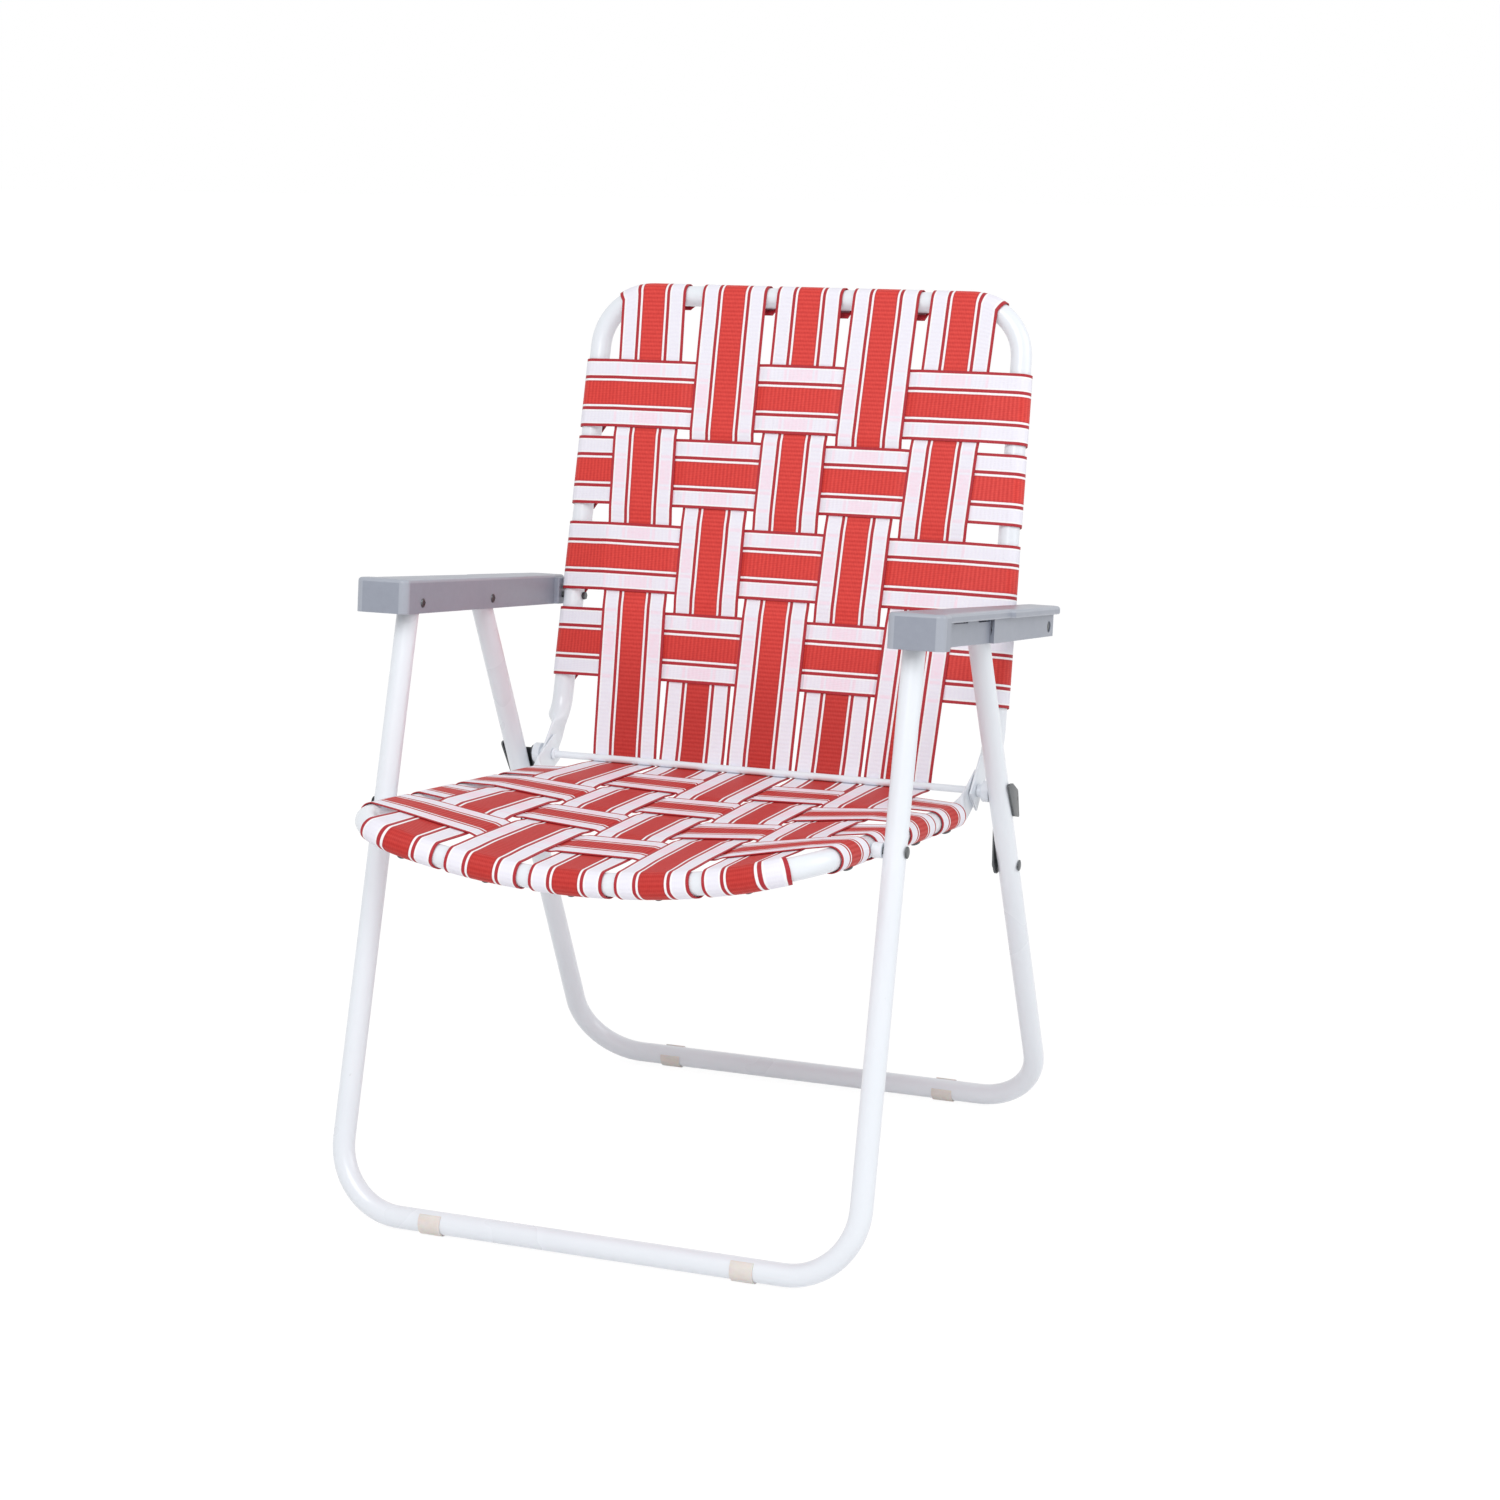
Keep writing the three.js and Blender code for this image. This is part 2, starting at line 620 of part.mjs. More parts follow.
function armSolid() {
  const roof = new THREE.ExtrudeGeometry(armTop(), {
    depth: armLipDepth - 2 * armEdgeRound,
    bevelThickness: armEdgeRound,
    bevelSize: armEdgeRound,
    bevelOffset: -armEdgeRound,
    bevelSegments: 2,
    curveSegments: 5,
  }).translate(0, 0, armTopRise - armLipDepth + armEdgeRound);
  const wallHeight = armTopRise - armEdgeRound + armBottomDrop;
  const walls = extruded(armChannel(0), wallHeight, 5).translate(0, 0, -armBottomDrop);
  const hollowDepth = armTopRise - armRoofThickness + 2 * armBottomDrop;
  const hollow = extruded(armChannel(armWall), hollowDepth, 5).translate(0, 0, -2 * armBottomDrop);
  const arm = geometryOf(solidOf(walls).add(solidOf(roof)).subtract(solidOf(hollow)));
  const points = arm.attributes.position;
  for (let i = 0; i < points.count; i++) {
    const share = (points.getY(i) + armFrontReach) / armLength;
    if (points.getZ(i) > 0) points.setZ(i, points.getZ(i) * (1 - armTopFall * share));
  }
  return arm;
}

for (const [hand, side] of Object.entries(sides)) {
  const arm = new THREE.Group();
  arm.position.copy(frontArmPivot).setX(side * armInnerX);
  arm.rotation.x = -armSlope;
  chair.add(arm);
  const bore = (radius, along, middle) =>
    new THREE.CylinderGeometry(radius + pinGap, radius + pinGap, 2 * (armWall + armLegPlay), pinSides)
      .rotateZ(Math.PI / 2)
      .translate(side * middle, along, 0);
  const innerBores = [0, rearLegReach, backReach].map((along) => bore(boltRadius, along, innerFace(along)));
  const headBore = bore(boltHeadRadius, backReach, armRearWall);
  const shape = armSolid();
  const handed = side > 0 ? shape : mirrorX(shape);
  add(`armrest_${hand}`, cut(handed, [...innerBores, headBore]), armPlastic, arm);

  const seatGap = fitGap + boltHeadRadius * armSlant;
  const legOuterFace = (along) => innerFace(along) + armWall + armLegPlay + 2 * tubeRadius;
  const legBolts = { front: 0, rear: rearLegReach };
  for (const [place, along] of Object.entries(legBolts)) {
    const nut = legOuterFace(along) + fitGap;
    const head = innerFace(along) - seatGap;
    const ends = [head - boltHeadHeight, head, nut, nut + nutHeight];
    const profile = headedPin(boltRadius, boltHeadRadius, ends);
    add(`arm_${place}_bolt_${hand}`, turned(profile, side), zincPlate, arm).position.y = along;
  }
  const head = armRearWall - nutHeight - fitGap;
  const backBolt = [
    [0, innerFace(backReach) + fitGap],
    [boltRadius, innerFace(backReach) + fitGap],
    [boltRadius, head],
    [boltHeadRadius, head],
    [boltHeadRadius, head + nutHeight],
    [0, head + nutHeight],
  ];
  add(`arm_back_bolt_${hand}`, turned(backBolt, side), zincPlate, arm).position.y = backReach;

  const nutFace = backX - tubeRadius - fitGap;
  const boltEnd = headedPin(boltRadius, boltHeadRadius, [
    nutFace - nutHeight,
    nutFace,
    armInnerX + innerFace(backReach) - fitGap,
    0,
  ]);
  add(`back_bolt_end_${hand}`, turned(boltEnd, side), zincPlate).position.copy(backArmPivot);
}

// The same shape for the other hand, with its faces turned back outwards.
function mirrorX(geometry) {
  const other = geometry.clone().scale(-1, 1, 1);
  const index = Array.from(other.index.array);
  for (let i = 0; i < index.length; i += 3) [index[i + 1], index[i + 2]] = [index[i + 2], index[i + 1]];
  other.setIndex(index);
  return other;
}

// Webbing. A strap is a list of stations: points from edge to edge and the ways that they face.
function strap(stations) {
  const half = strapThickness / 2;
  return loft(
    stations.map(({ line, faces }) => [
      ...line.map((point, i) => point.clone().addScaledVector(faces[i], half)),
      ...line.map((point, i) => point.clone().addScaledVector(faces[i], -half)).reverse(),
    ]),
  );
}

const wrapRadius = tubeRadius + wrapGap + strapThickness / 2;
const rodWrapRadius = hingeRodRadius + fitGap + strapThickness / 2;
const weaveLift = (strapThickness + weaveGap) / 2;
const halfStrap = strapWidth / 2;
const crossOver = (row, column) => ((row + column) % 2 === 0 ? 1 : -1);
const wrapAngles = (() => {
  const angles = [];
  for (let angle = 0; angle < wrapEnd; angle += wrapStep) angles.push(angle);
  return [...angles, wrapEnd].map(THREE.MathUtils.degToRad);
})();

// A station that turns round a tube: from the face directions towards the outward ones.
function wrapStation(centres, faces, outwards, angle, radius) {
  const looks = faces.map((face, i) =>
    face.clone().multiplyScalar(Math.cos(angle)).addScaledVector(outwards[i], Math.sin(angle)),
  );
  const line = centres.map((centre, i) => centre.clone().addScaledVector(looks[i], radius));
  return { line, faces: looks };
}

// A flat station: points spread evenly from one edge to the other.
const sharesOf = (spans) => Array.from({ length: spans + 1 }, (_, i) => i / spans);
const flatStation = (from, to, face, spans) => ({
  line: sharesOf(spans).map((share) => from.clone().lerp(to, share)),
  faces: sharesOf(spans).map(() => face),
});

// The outermost long straps reach round the bars' corners, so they need more points across.
const columns = Array.from({ length: longStrapCount }, (_, i) => i);
const fromMiddle = (column) => column - (longStrapCount - 1) / 2;
const isOuter = (column) => column % (longStrapCount - 1) === 0;
const spansOf = (column) => (isOuter(column) ? outerSpans : innerSpans);
const handsOf = (column) => sharesOf(spansOf(column)).map((share) => 1 - 2 * share);

// Back: each long strap edge runs straight from the top bar to the rod's rear.
const rodRise = hinge.clone().sub(backArmPivot).dot(backUp);
const rodFront = hinge.clone().sub(backArmPivot).dot(backFront);
const longStrapsTop = columns.map((column) => {
  const place = fromMiddle(column);
  if (isOuter(column)) return Math.sign(place) * longStrapTopEdge;
  return place * longStrapTopPitch + longStrapTopShift;
});
const longStrapsRod = columns.map((column) => fromMiddle(column) * longStrapRodPitch);
const longStrapsFront = columns.map((column) => fromMiddle(column) * longStrapFrontPitch);

function backEdge(column, hand, margin = 0) {
  const shift = hand * (halfStrap + margin);
  const bar = crossing(backPath, longStrapsTop[column] + shift);
  const start = bar.point.clone().addScaledVector(backFront, wrapRadius);
  const end = onBack(longStrapsRod[column] + shift, rodRise, rodFront - rodWrapRadius);
  const startRise = start.clone().sub(backArmPivot).dot(backUp);
  const outward = bar.tangent.clone().cross(backFront);
  if (outward.dot(backUp) < 0) outward.negate();
  const atRise = (rise) => start.clone().lerp(end, (startRise - rise) / (startRise - rodRise));
  return { bar: bar.point, outward, start, end, atRise };
}

const riseAt = (height) => (height - backArmPivot.z) / Math.cos(backRecline);
const backRows = Array.from({ length: backCrossCount }, (_, i) => {
  const height = backCrossFirst - (i ? backCrossFirstPitch + (i - 1) * backCrossPitch : 0);
  return [riseAt(height), riseAt(height) - strapWidth];
});

function backLongStrap(column) {
  const lines = handsOf(column).map((hand) => backEdge(column, hand));
  const fronts = lines.map(() => backFront);
  const bars = lines.map((line) => line.bar);
  const outwards = lines.map((line) => line.outward);
  const edges = [lines[0], lines[lines.length - 1]];
  const wrapped = (angle) => wrapStation(bars, fronts, outwards, angle, wrapRadius);
  const stations = wrapAngles.toReversed().map(wrapped);
  backRows.forEach((row, i) =>
    row.forEach((rise, k) => {
      const lift = -crossOver(i, column) * weaveLift;
      const reach = rise + (k ? -weaveMargin : weaveMargin);
      const [from, to] = edges.map((edge) => edge.atRise(reach).addScaledVector(backFront, lift));
      stations.push(flatStation(from, to, backFront, spansOf(column)));
    }),
  );
  stations.push(flatStation(edges[0].end, edges[1].end, backFront, spansOf(column)));
  return strap(stations);
}

function backCrossStrap(row) {
  const rises = backRows[row];
  const tubeWrap = (side, angle) =>
    wrapStation(
      rises.map((rise) => onBack(side * backXAt(rise), rise, 0)),
      rises.map(() => backFront),
      rises.map(() => at(side, 0, 0)),
      angle,
      wrapRadius,
    );
  const across = columns.flatMap((column) => {
    const [from, to] = [-1, 1].map((hand) => backEdge(column, hand, weaveMargin));
    const lift = crossOver(row, column) * weaveLift;
    return sharesOf(spansOf(column)).map((share) => {
      const [upper, lower] = rises.map((rise) =>
        from.atRise(rise).lerp(to.atRise(rise), share).addScaledVector(backFront, lift),
      );
      return flatStation(upper, lower, backFront, 1);
    });
  });
  return strap([
    ...wrapAngles.toReversed().map((angle) => tubeWrap(-1, angle)),
    ...across,
    ...wrapAngles.map((angle) => tubeWrap(1, angle)),
  ]);
}

// Seat: each long strap edge runs straight from under the rod to the top of the front bar.
function seatEdge(column, hand, margin = 0) {
  const shift = hand * (halfStrap + margin);
  const bar = crossing(seatPath, longStrapsFront[column] + shift);
  const ahead = bar.tangent.clone().cross(upward).normalize();
  if (ahead.y > 0) ahead.negate();
  const face = bar.tangent.clone().cross(ahead).normalize();
  if (face.z < 0) face.negate();
  const start = hinge.clone().setX(longStrapsRod[column] + shift).addScaledVector(upward, -rodWrapRadius);
  const end = bar.point.clone().addScaledVector(face, wrapRadius);
  const atY = (y) => start.clone().lerp(end, (y - start.y) / (end.y - start.y));
  return { bar: bar.point, ahead, face, start, end, atY };
}

const seatRows = Array.from({ length: seatCrossCount }, (_, i) => {
  const middle = seatCrossFirst + i * seatCrossPitch;
  return [middle - halfStrap, middle + halfStrap];
});
const rodWrapAngles = [22, 56, 90].map(THREE.MathUtils.degToRad);

function seatLongStrap(column) {
  const lines = handsOf(column).map((hand) => seatEdge(column, hand));
  const rods = lines.map((line) => hinge.clone().setX(line.start.x));
  const rearward = lines.map(() => at(0, 1, 0));
  const downward = lines.map(() => at(0, 0, -1));
  const edges = [lines[0], lines[lines.length - 1]];
  const stations = rodWrapAngles.map((angle) => {
    const { line, faces } = wrapStation(rods, rearward, downward, angle, rodWrapRadius);
    return { line, faces: faces.map((face) => face.negate()) };
  });
  seatRows.toReversed().forEach((row, k) => {
    const lift = -crossOver(seatCrossCount - 1 - k, column) * weaveLift;
    row.toReversed().forEach((y, end) => {
      const reach = y + (end ? -weaveMargin : weaveMargin);
      const [from, to] = edges.map((edge) => edge.atY(reach).addScaledVector(upward, lift));
      stations.push(flatStation(from, to, upward, spansOf(column)));
    });
  });
  const bars = lines.map((line) => line.bar);
  const faces = lines.map((line) => line.face);
  const aheads = lines.map((line) => line.ahead);
  stations.push(...wrapAngles.map((angle) => wrapStation(bars, faces, aheads, angle, wrapRadius)));
  return strap(stations);
}

function seatCrossStrap(row) {
  const places = seatRows[row];
  const tubeWrap = (side, angle) =>
    wrapStation(
      places.map((y) => at(side * seatX, y, seatTubeZ(y))),
      places.map(() => upward),
      places.map(() => at(side, 0, 0)),
      angle,
      wrapRadius,
    );
  const across = longStrapsFront.flatMap((_, column) => {
    const [from, to] = [-1, 1].map((hand) => seatEdge(column, hand, weaveMargin));
    const lift = crossOver(row, column) * weaveLift;
    return sharesOf(spansOf(column)).map((share) => {
      const raised = (y) => from.atY(y).lerp(to.atY(y), share).addScaledVector(upward, lift);
      const [front, rear] = places.map(raised);
      return flatStation(front, rear, upward, 1);
    });
  });
  return strap([
    ...wrapAngles.map((angle) => tubeWrap(1, angle)).reverse(),
    ...across.reverse(),
    ...wrapAngles.map((angle) => tubeWrap(-1, angle)),
  ]);
}

columns.forEach((column) => {
  add(`back_long_strap_${column + 1}`, backLongStrap(column), redWebbing);
  add(`seat_long_strap_${column + 1}`, seatLongStrap(column), redWebbing);
});
backRows.forEach((_, row) => add(`back_cross_strap_${row + 1}`, backCrossStrap(row), redWebbing));
seatRows.forEach((_, row) => add(`seat_cross_strap_${row + 1}`, seatCrossStrap(row), redWebbing));

// The origin is on the floor, midway between the foremost strap and the rearmost foot band.
const foremost = seatFrontY - tubeRadius - wrapGap - strapThickness;
const rearmost = rearBar.y + flatOfBand;
chair.position.y = -(foremost + rearmost) / 2;

export default chair;
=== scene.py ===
import math

import bmesh
import bpy
from mathutils import Matrix, Quaternion, Vector


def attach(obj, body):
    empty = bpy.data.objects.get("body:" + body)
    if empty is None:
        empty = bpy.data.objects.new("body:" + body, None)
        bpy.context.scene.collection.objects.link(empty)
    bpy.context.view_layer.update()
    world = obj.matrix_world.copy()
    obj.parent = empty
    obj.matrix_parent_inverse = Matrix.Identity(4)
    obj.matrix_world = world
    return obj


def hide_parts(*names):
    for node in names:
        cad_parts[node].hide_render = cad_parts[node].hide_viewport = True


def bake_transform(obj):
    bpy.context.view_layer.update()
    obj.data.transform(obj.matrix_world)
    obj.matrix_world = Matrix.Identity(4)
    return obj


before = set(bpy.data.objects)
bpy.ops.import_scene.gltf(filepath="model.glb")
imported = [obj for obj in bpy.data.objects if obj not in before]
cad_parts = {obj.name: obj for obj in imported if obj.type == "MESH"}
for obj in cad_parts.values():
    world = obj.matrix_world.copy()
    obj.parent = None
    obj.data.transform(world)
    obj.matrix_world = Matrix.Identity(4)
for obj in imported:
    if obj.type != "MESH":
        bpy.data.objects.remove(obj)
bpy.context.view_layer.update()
print("frame loaded:", len(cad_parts), "solids")

# Lengths are in millimetres, on the drawing's own axes; toFrame puts a point in the shared frame.
mm = 0.001
drawingShift = Vector((0, 12.967, 0))
xAxis = Vector((1, 0, 0))
upward = Vector((0, 0, 1))
handSides = {"left": -1, "right": 1}


def toFrame(point):
    return (point + drawingShift) * mm


def smooth(share):
    share = min(max(share, 0), 1)
    return share * share * (3 - 2 * share)


def mix(a, b, share):
    return a + (b - a) * share


# Shader maths: a wrapped socket, so that plain expressions add their Math nodes.
class Flow:
    def __init__(self, tree, socket=None):
        self.tree = tree
        self.socket = socket

    def add(self, kind, settings=None, inputs=None, out=0):
        node = self.tree.nodes.new(kind)
        for key, value in (settings or {}).items():
            setattr(node, key, value)
        for key, value in (inputs or {}).items():
            if isinstance(value, Flow):
                self.tree.links.new(value.socket, node.inputs[key])
            else:
                node.inputs[key].default_value = value
        return Flow(self.tree, node.outputs[out])

    def maths(self, operation, *values):
        return self.add("ShaderNodeMath", {"operation": operation}, dict(enumerate(values)))

    def __add__(self, other):
        return self.maths("ADD", self, other)

    def __sub__(self, other):
        return self.maths("SUBTRACT", self, other)

    def __rsub__(self, other):
        return self.maths("SUBTRACT", other, self)

    def __mul__(self, other):
        return self.maths("MULTIPLY", self, other)

    def __abs__(self):
        return self.maths("ABSOLUTE", self)

    def sine(self):
        return self.maths("SINE", self)

    def above(self, edge, soft):
        span = {"From Min": edge - soft, "From Max": edge + soft, "Value": self}
        return self.add("ShaderNodeMapRange", {"interpolation_type": "SMOOTHSTEP"}, span)

    def between(self, low, high, soft):
        return self.above(low, soft) * (1 - self.above(high, soft))

    def largest(self, other):
        return self.maths("MAXIMUM", self, other)

    def colour(self, low, high):
        return self.add("ShaderNodeMix", {"data_type": "RGBA"}, {0: self, 6: low, 7: high}, out=2)

    def bump(self, strength, distance):
        settings = {"Height": self, "Strength": strength, "Distance": distance}
        return self.add("ShaderNodeBump", None, settings)

    def part(self, axis):
        return self.add("ShaderNodeSeparateXYZ", None, {0: self}, out=axis)

    def place(self):
        return self.add("ShaderNodeTexCoord", out=3)

    # Noise on these coordinates.
    def noise(self, scale, detail=3, rough=0.5):
        sizes = {"Vector": self, "Scale": scale, "Detail": detail, "Roughness": rough}
        return self.add("ShaderNodeTexNoise", None, sizes)


def rgb(*shares):
    linear = [v / 12.92 if v <= 0.04045 else ((v + 0.055) / 1.055) ** 2.4 for v in shares]
    return (*linear, 1)


def newMaterial(name, fixed):
    material = bpy.data.materials.new(name)
    material.use_nodes = True
    tree = material.node_tree
    shader = tree.nodes["Principled BSDF"]
    for key, value in fixed.items():
        shader.inputs[key].default_value = value

    def give(**links):
        for key, value in links.items():
            tree.links.new(value.socket, shader.inputs[key.replace("_", " ")])

    return material, Flow(tree), give


# In each look, a noise layer is scale, detail and roughness, and an edge is place and softness.
# Gloss white enamel over tube: faint ripple, and scuffs where the paint has rubbed.
paintLook = dict(
    fixed={"Coat Weight": 0.35, "Coat Roughness": 0.12},
    white=rgb(0.926, 0.944, 0.966),
    shade=rgb(0.896, 0.914, 0.942),
    scuff=rgb(0.74, 0.74, 0.75),
    scuffShare=0.7,
    scuffDull=0.2,
    gloss=0.22,
    dull=0.36,
    cloud=(9,),
    ripple=(260, 2),
    rippleBump=(0.06, 0.0006),
    rubs=(60, 5, 0.7),
    rubEdge=(0.71, 0.03),
    patches=(11, 2),
    patchEdge=(0.56, 0.08),
)


def makePaint():
    look = paintLook
    material, start, give = newMaterial("whiteEnamel", look["fixed"])
    place = start.place()
    cloud = place.noise(*look["cloud"])
    rubbed = place.noise(*look["rubs"]).above(*look["rubEdge"])
    rubbed = rubbed * place.noise(*look["patches"]).above(*look["patchEdge"])
    tone = cloud.colour(look["shade"], look["white"])
    sheen = cloud * (look["dull"] - look["gloss"]) + look["gloss"]
    give(
        Base_Color=(rubbed * look["scuffShare"]).colour(tone, look["scuff"]),
        Roughness=sheen + rubbed * look["scuffDull"],
        Normal=place.noise(*look["ripple"]).bump(*look["rippleBump"]),
    )
    return material


# Moulded plastic: satin grain, cloudy tone, and a painted highlight on the narrow faces of rounded
# edges.
armLook = dict(
    fixed={"Specular IOR Level": 0.6},
    light=rgb(0.605, 0.626, 0.677),
    dark=rgb(0.535, 0.557, 0.607),
    # rim is the colour of the painted highlight on rounded edges.
    rim=rgb(0.82, 0.84, 0.87),
    rimHighlightShare=0.24,
    cloud=(14, 4),
    mottle=(170, 3, 0.6),
    flow=(45, 3),
    grain=(1500, 2),
    roughness=0.26,
    flowDull=0.14,
    grainDull=0.05,
    flowHeight=0.6,
    grainBump=(0.1, 0.0004),
)


def makeArmPlastic():
    look = armLook
    material, start, give = newMaterial("armPlastic", look["fixed"])
    place = start.place()
    flow = place.noise(*look["flow"])
    grain = place.noise(*look["grain"])
    clouds = place.noise(*look["cloud"]) * 0.5 + place.noise(*look["mottle"]) * 0.5
    body = clouds.colour(look["dark"], look["light"])
    # Painted highlight: the marked rim faces are mixed towards a lighter grey.
    rim = start.add("ShaderNodeAttribute", {"attribute_name": "paintedRimHighlight"}, out=2)
    give(
        Base_Color=(rim * look["rimHighlightShare"]).colour(body, look["rim"]),
        Roughness=flow * look["flowDull"] + look["roughness"] + grain * look["grainDull"],
        Normal=(grain + flow * look["flowHeight"]).bump(*look["grainBump"]),
    )
    return material


# Zinc plate: patchy sheen with fine drawn lines.
zincLook = dict(
    light=rgb(0.46, 0.47, 0.48),
    dark=rgb(0.27, 0.28, 0.29),
    stain=rgb(0.22, 0.21, 0.19),
    stainShare=0.6,
    stains=(70, 5, 0.65),
    stainEdge=(0.63, 0.06),
    patch=(130, 4),
    patchShare=0.7,
    drawn=(1, 1, 14),
    lines=(420, 2),
    linesBump=(0.1, 0.0002),
    metallic=0.95,
    stainMetallic=0.5,
    roughness=0.24,
    patchDull=0.2,
    stainDull=0.25,
)


def makeZinc():
    look = zincLook
    material, start, give = newMaterial("zincPlate", {})
    place = start.place()
    drawn = start.add("ShaderNodeMapping", None, {"Vector": place, "Scale": look["drawn"]})
    lines = drawn.noise(*look["lines"])
    patch = place.noise(*look["patch"])
    stain = place.noise(*look["stains"]).above(*look["stainEdge"])
    tone = patch * look["patchShare"] + lines * (1 - look["patchShare"])
    metal = tone.colour(look["dark"], look["light"])
    give(
        Base_Color=(stain * look["stainShare"]).colour(metal, look["stain"]),
        Metallic=look["metallic"] - stain * look["stainMetallic"],
        Roughness=patch * look["patchDull"] + look["roughness"] + stain * look["stainDull"],
        Normal=lines.bump(*look["linesBump"]),
    )
    return material


# Foot clips: milky beige plastic.
clipLook = dict(
    fixed={"Subsurface Weight": 0.25, "Subsurface Scale": 0.002, "Specular IOR Level": 0.4},
    light=rgb(0.92, 0.9, 0.882),
    dark=rgb(0.852, 0.82, 0.797),
    cloud=(120, 4),
    fine=(900, 2),
    fineBump=(0.08, 0.0004),
    roughness=0.35,
    cloudDull=0.2,
)


def makeClipPlastic():
    look = clipLook
    material, start, give = newMaterial("clipPlastic", look["fixed"])
    place = start.place()
    cloud = place.noise(*look["cloud"])
    give(
        Base_Color=cloud.colour(look["dark"], look["light"]),
        Roughness=cloud * look["cloudDull"] + look["roughness"],
        Normal=(place.noise(*look["fine"]) + cloud).bump(*look["fineBump"]),
    )
    return material


# Webbing stripes, as shares of the half width from the middle line to the edge; pitches in metres.
webLook = dict(
    fixed={"Specular IOR Level": 0.35},
    red=rgb(0.915, 0.285, 0.252),
    # Painted shade: the red stripes darken below a height, on the seat.
    paintedSeatShade=rgb(0.567, 0, 0),
    paintedSeatShadeHeight=(0.425, 0.06),
    paintedSeatShadeShare=0.39,
    grooveShadeAndSpeckRed=rgb(0.7, 0.11, 0.11),
    darkRed=rgb(0.68, 0.15, 0.19),
    white=rgb(0.975, 0.975, 0.985),
    lilac=rgb(0.93, 0.922, 0.965),
    pink=rgb(0.975, 0.86, 0.915),
    pinkShare=0.6,
    redEdge=0.353,
    redRim=0.04,
    redRimShare=0.5,
    line=(0.413, 0.507),
    lilacBand=(0.55, 0.875),
    border=(0.92, 1.02),
    edgeSoft=0.008,
    lilacSoft=0.02,
    behindSoft=0.03,
    behindLines=0.9,
    bareTone=2,
    tailShadeRise=2,
    ribPitch=0.0038,
    ribShare=0.65,
    threadPitch=0.0016,
    weaveBump=(0.4, 0.0004),
    roughness=0.62,
    weaveSheen=0.14,
    wobble=(35, 2),
    wobbleSize=0.012,
    patchy=(300, 2),
    patchyLow=0.55,
    patchySpan=0.9,
    lilacWeave=0.25,
    fade=(6, 3),
    fadeShare=0.15,
    speck=(420, 2),
    speckShare=0.45,
    grooveShadeShare=0.5,
    grooveDrop=0.15,
)


def makeWebbing(width):
    look = webLook
    material, start, give = newMaterial("stripedWebbing", look["fixed"])
    cloth = start.add("ShaderNodeUVMap", {"uv_map": "strapMap"})
    place = start.place()
    across = cloth.part(0)
    wobble = place.noise(*look["wobble"]) * look["wobbleSize"] - look["wobbleSize"] / 2
    fromMiddle = abs(across - 0.5) * 2 + wobble
    rib = (cloth.part(1) * (2 * math.pi / look["ribPitch"])).sine() * 0.5 + 0.5
    thread = (across * (2 * math.pi * width / look["threadPitch"])).sine() * 0.5 + 0.5
    weave = rib * look["ribShare"] + thread * (1 - look["ribShare"])
    soft = look["edgeSoft"]
    inRed = 1 - fromMiddle.above(look["redEdge"], soft)
    inLine = fromMiddle.between(*look["line"], soft)
    inBorder = fromMiddle.above(look["border"][0], soft)
    inLilac = fromMiddle.between(*look["lilacBand"], look["lilacSoft"])

    # The stripes of the strap behind shine through the lilac bands.
    tone = start.add("ShaderNodeAttribute", {"attribute_name": "strapTone"}, out=2)
    soft = look["behindSoft"]
    behindRed = 1 - tone.above(look["redEdge"], soft)
    behindLines = tone.between(*look["line"], soft) + tone.between(*look["border"], soft)
    patchy = place.noise(*look["patchy"]) * look["patchySpan"] + look["patchyLow"]
    through = (behindRed + behindLines * look["behindLines"]) * inLilac * patchy
    lilac = inLilac * (weave * look["lilacWeave"] + (1 - look["lilacWeave"]))
    pale = lilac.colour(look["white"], look["lilac"])
    pale = (through * look["pinkShare"]).colour(pale, look["pink"])

    # Partly painted shade: the weave's grooves are darker, together with random fading and specks.
    grooveShadeAndSpecks = (1 - weave) * look["grooveShadeShare"] + place.noise(*look["fade"]) * look["fadeShare"]
    grooveShadeAndSpecks = grooveShadeAndSpecks + place.noise(*look["speck"]) * look["speckShare"] - look["grooveDrop"]
    deep = grooveShadeAndSpecks.colour(look["red"], look["grooveShadeAndSpeckRed"])
    rim = fromMiddle.above(look["redEdge"] - look["redRim"], look["redRim"])
    deep = (rim * look["redRimShare"]).colour(deep, look["darkRed"])
    # Painted shade: the red of the lower straps, on the seat, is mixed darker.
    paintedSeatShadeMask = 1 - place.part(2).above(*look["paintedSeatShadeHeight"])
    deep = (paintedSeatShadeMask * look["paintedSeatShadeShare"]).colour(deep, look["paintedSeatShade"])

    # Painted shade: the folded tails, with tone above bareTone, turn dark red as if in shadow.
    tailShade = (tone - look["bareTone"]) * look["tailShadeRise"]
    tailShade = tailShade.maths("MINIMUM", tailShade, 1)
    lined = inLine.largest(inBorder).largest(tailShade).colour(pale, look["darkRed"])
    give(
        Base_Color=inRed.colour(lined, deep),
        Roughness=look["roughness"] - weave * look["weaveSheen"],
        Normal=weave.bump(*look["weaveBump"]),
    )
    return material


strapSizes = dict(
    width=64,
    thickness=0.9,
    edgeBulge=0.3,
    solidThickness=1,
    weaveGap=0.4,
    wrapGap=0.8,
    wrapEnd=215,
    wrapStep=7.5,
    pointsAcross=16,
    step=2.6,
)
paint = makePaint()
armPlastic = makeArmPlastic()
zinc = makeZinc()
clipPlastic = makeClipPlastic()
webbing = makeWebbing(strapSizes["width"] * mm)
print("finishes made")


# Mesh helpers
def addObject(name, data):
    made = bpy.data.objects.new(name, data)
    bpy.context.scene.collection.objects.link(made)
    return made


# The plain mesh that an object's modifiers make.
def bakedMesh(thing):
    graph = bpy.context.evaluated_depsgraph_get()
    return bpy.data.meshes.new_from_object(thing.evaluated_get(graph))


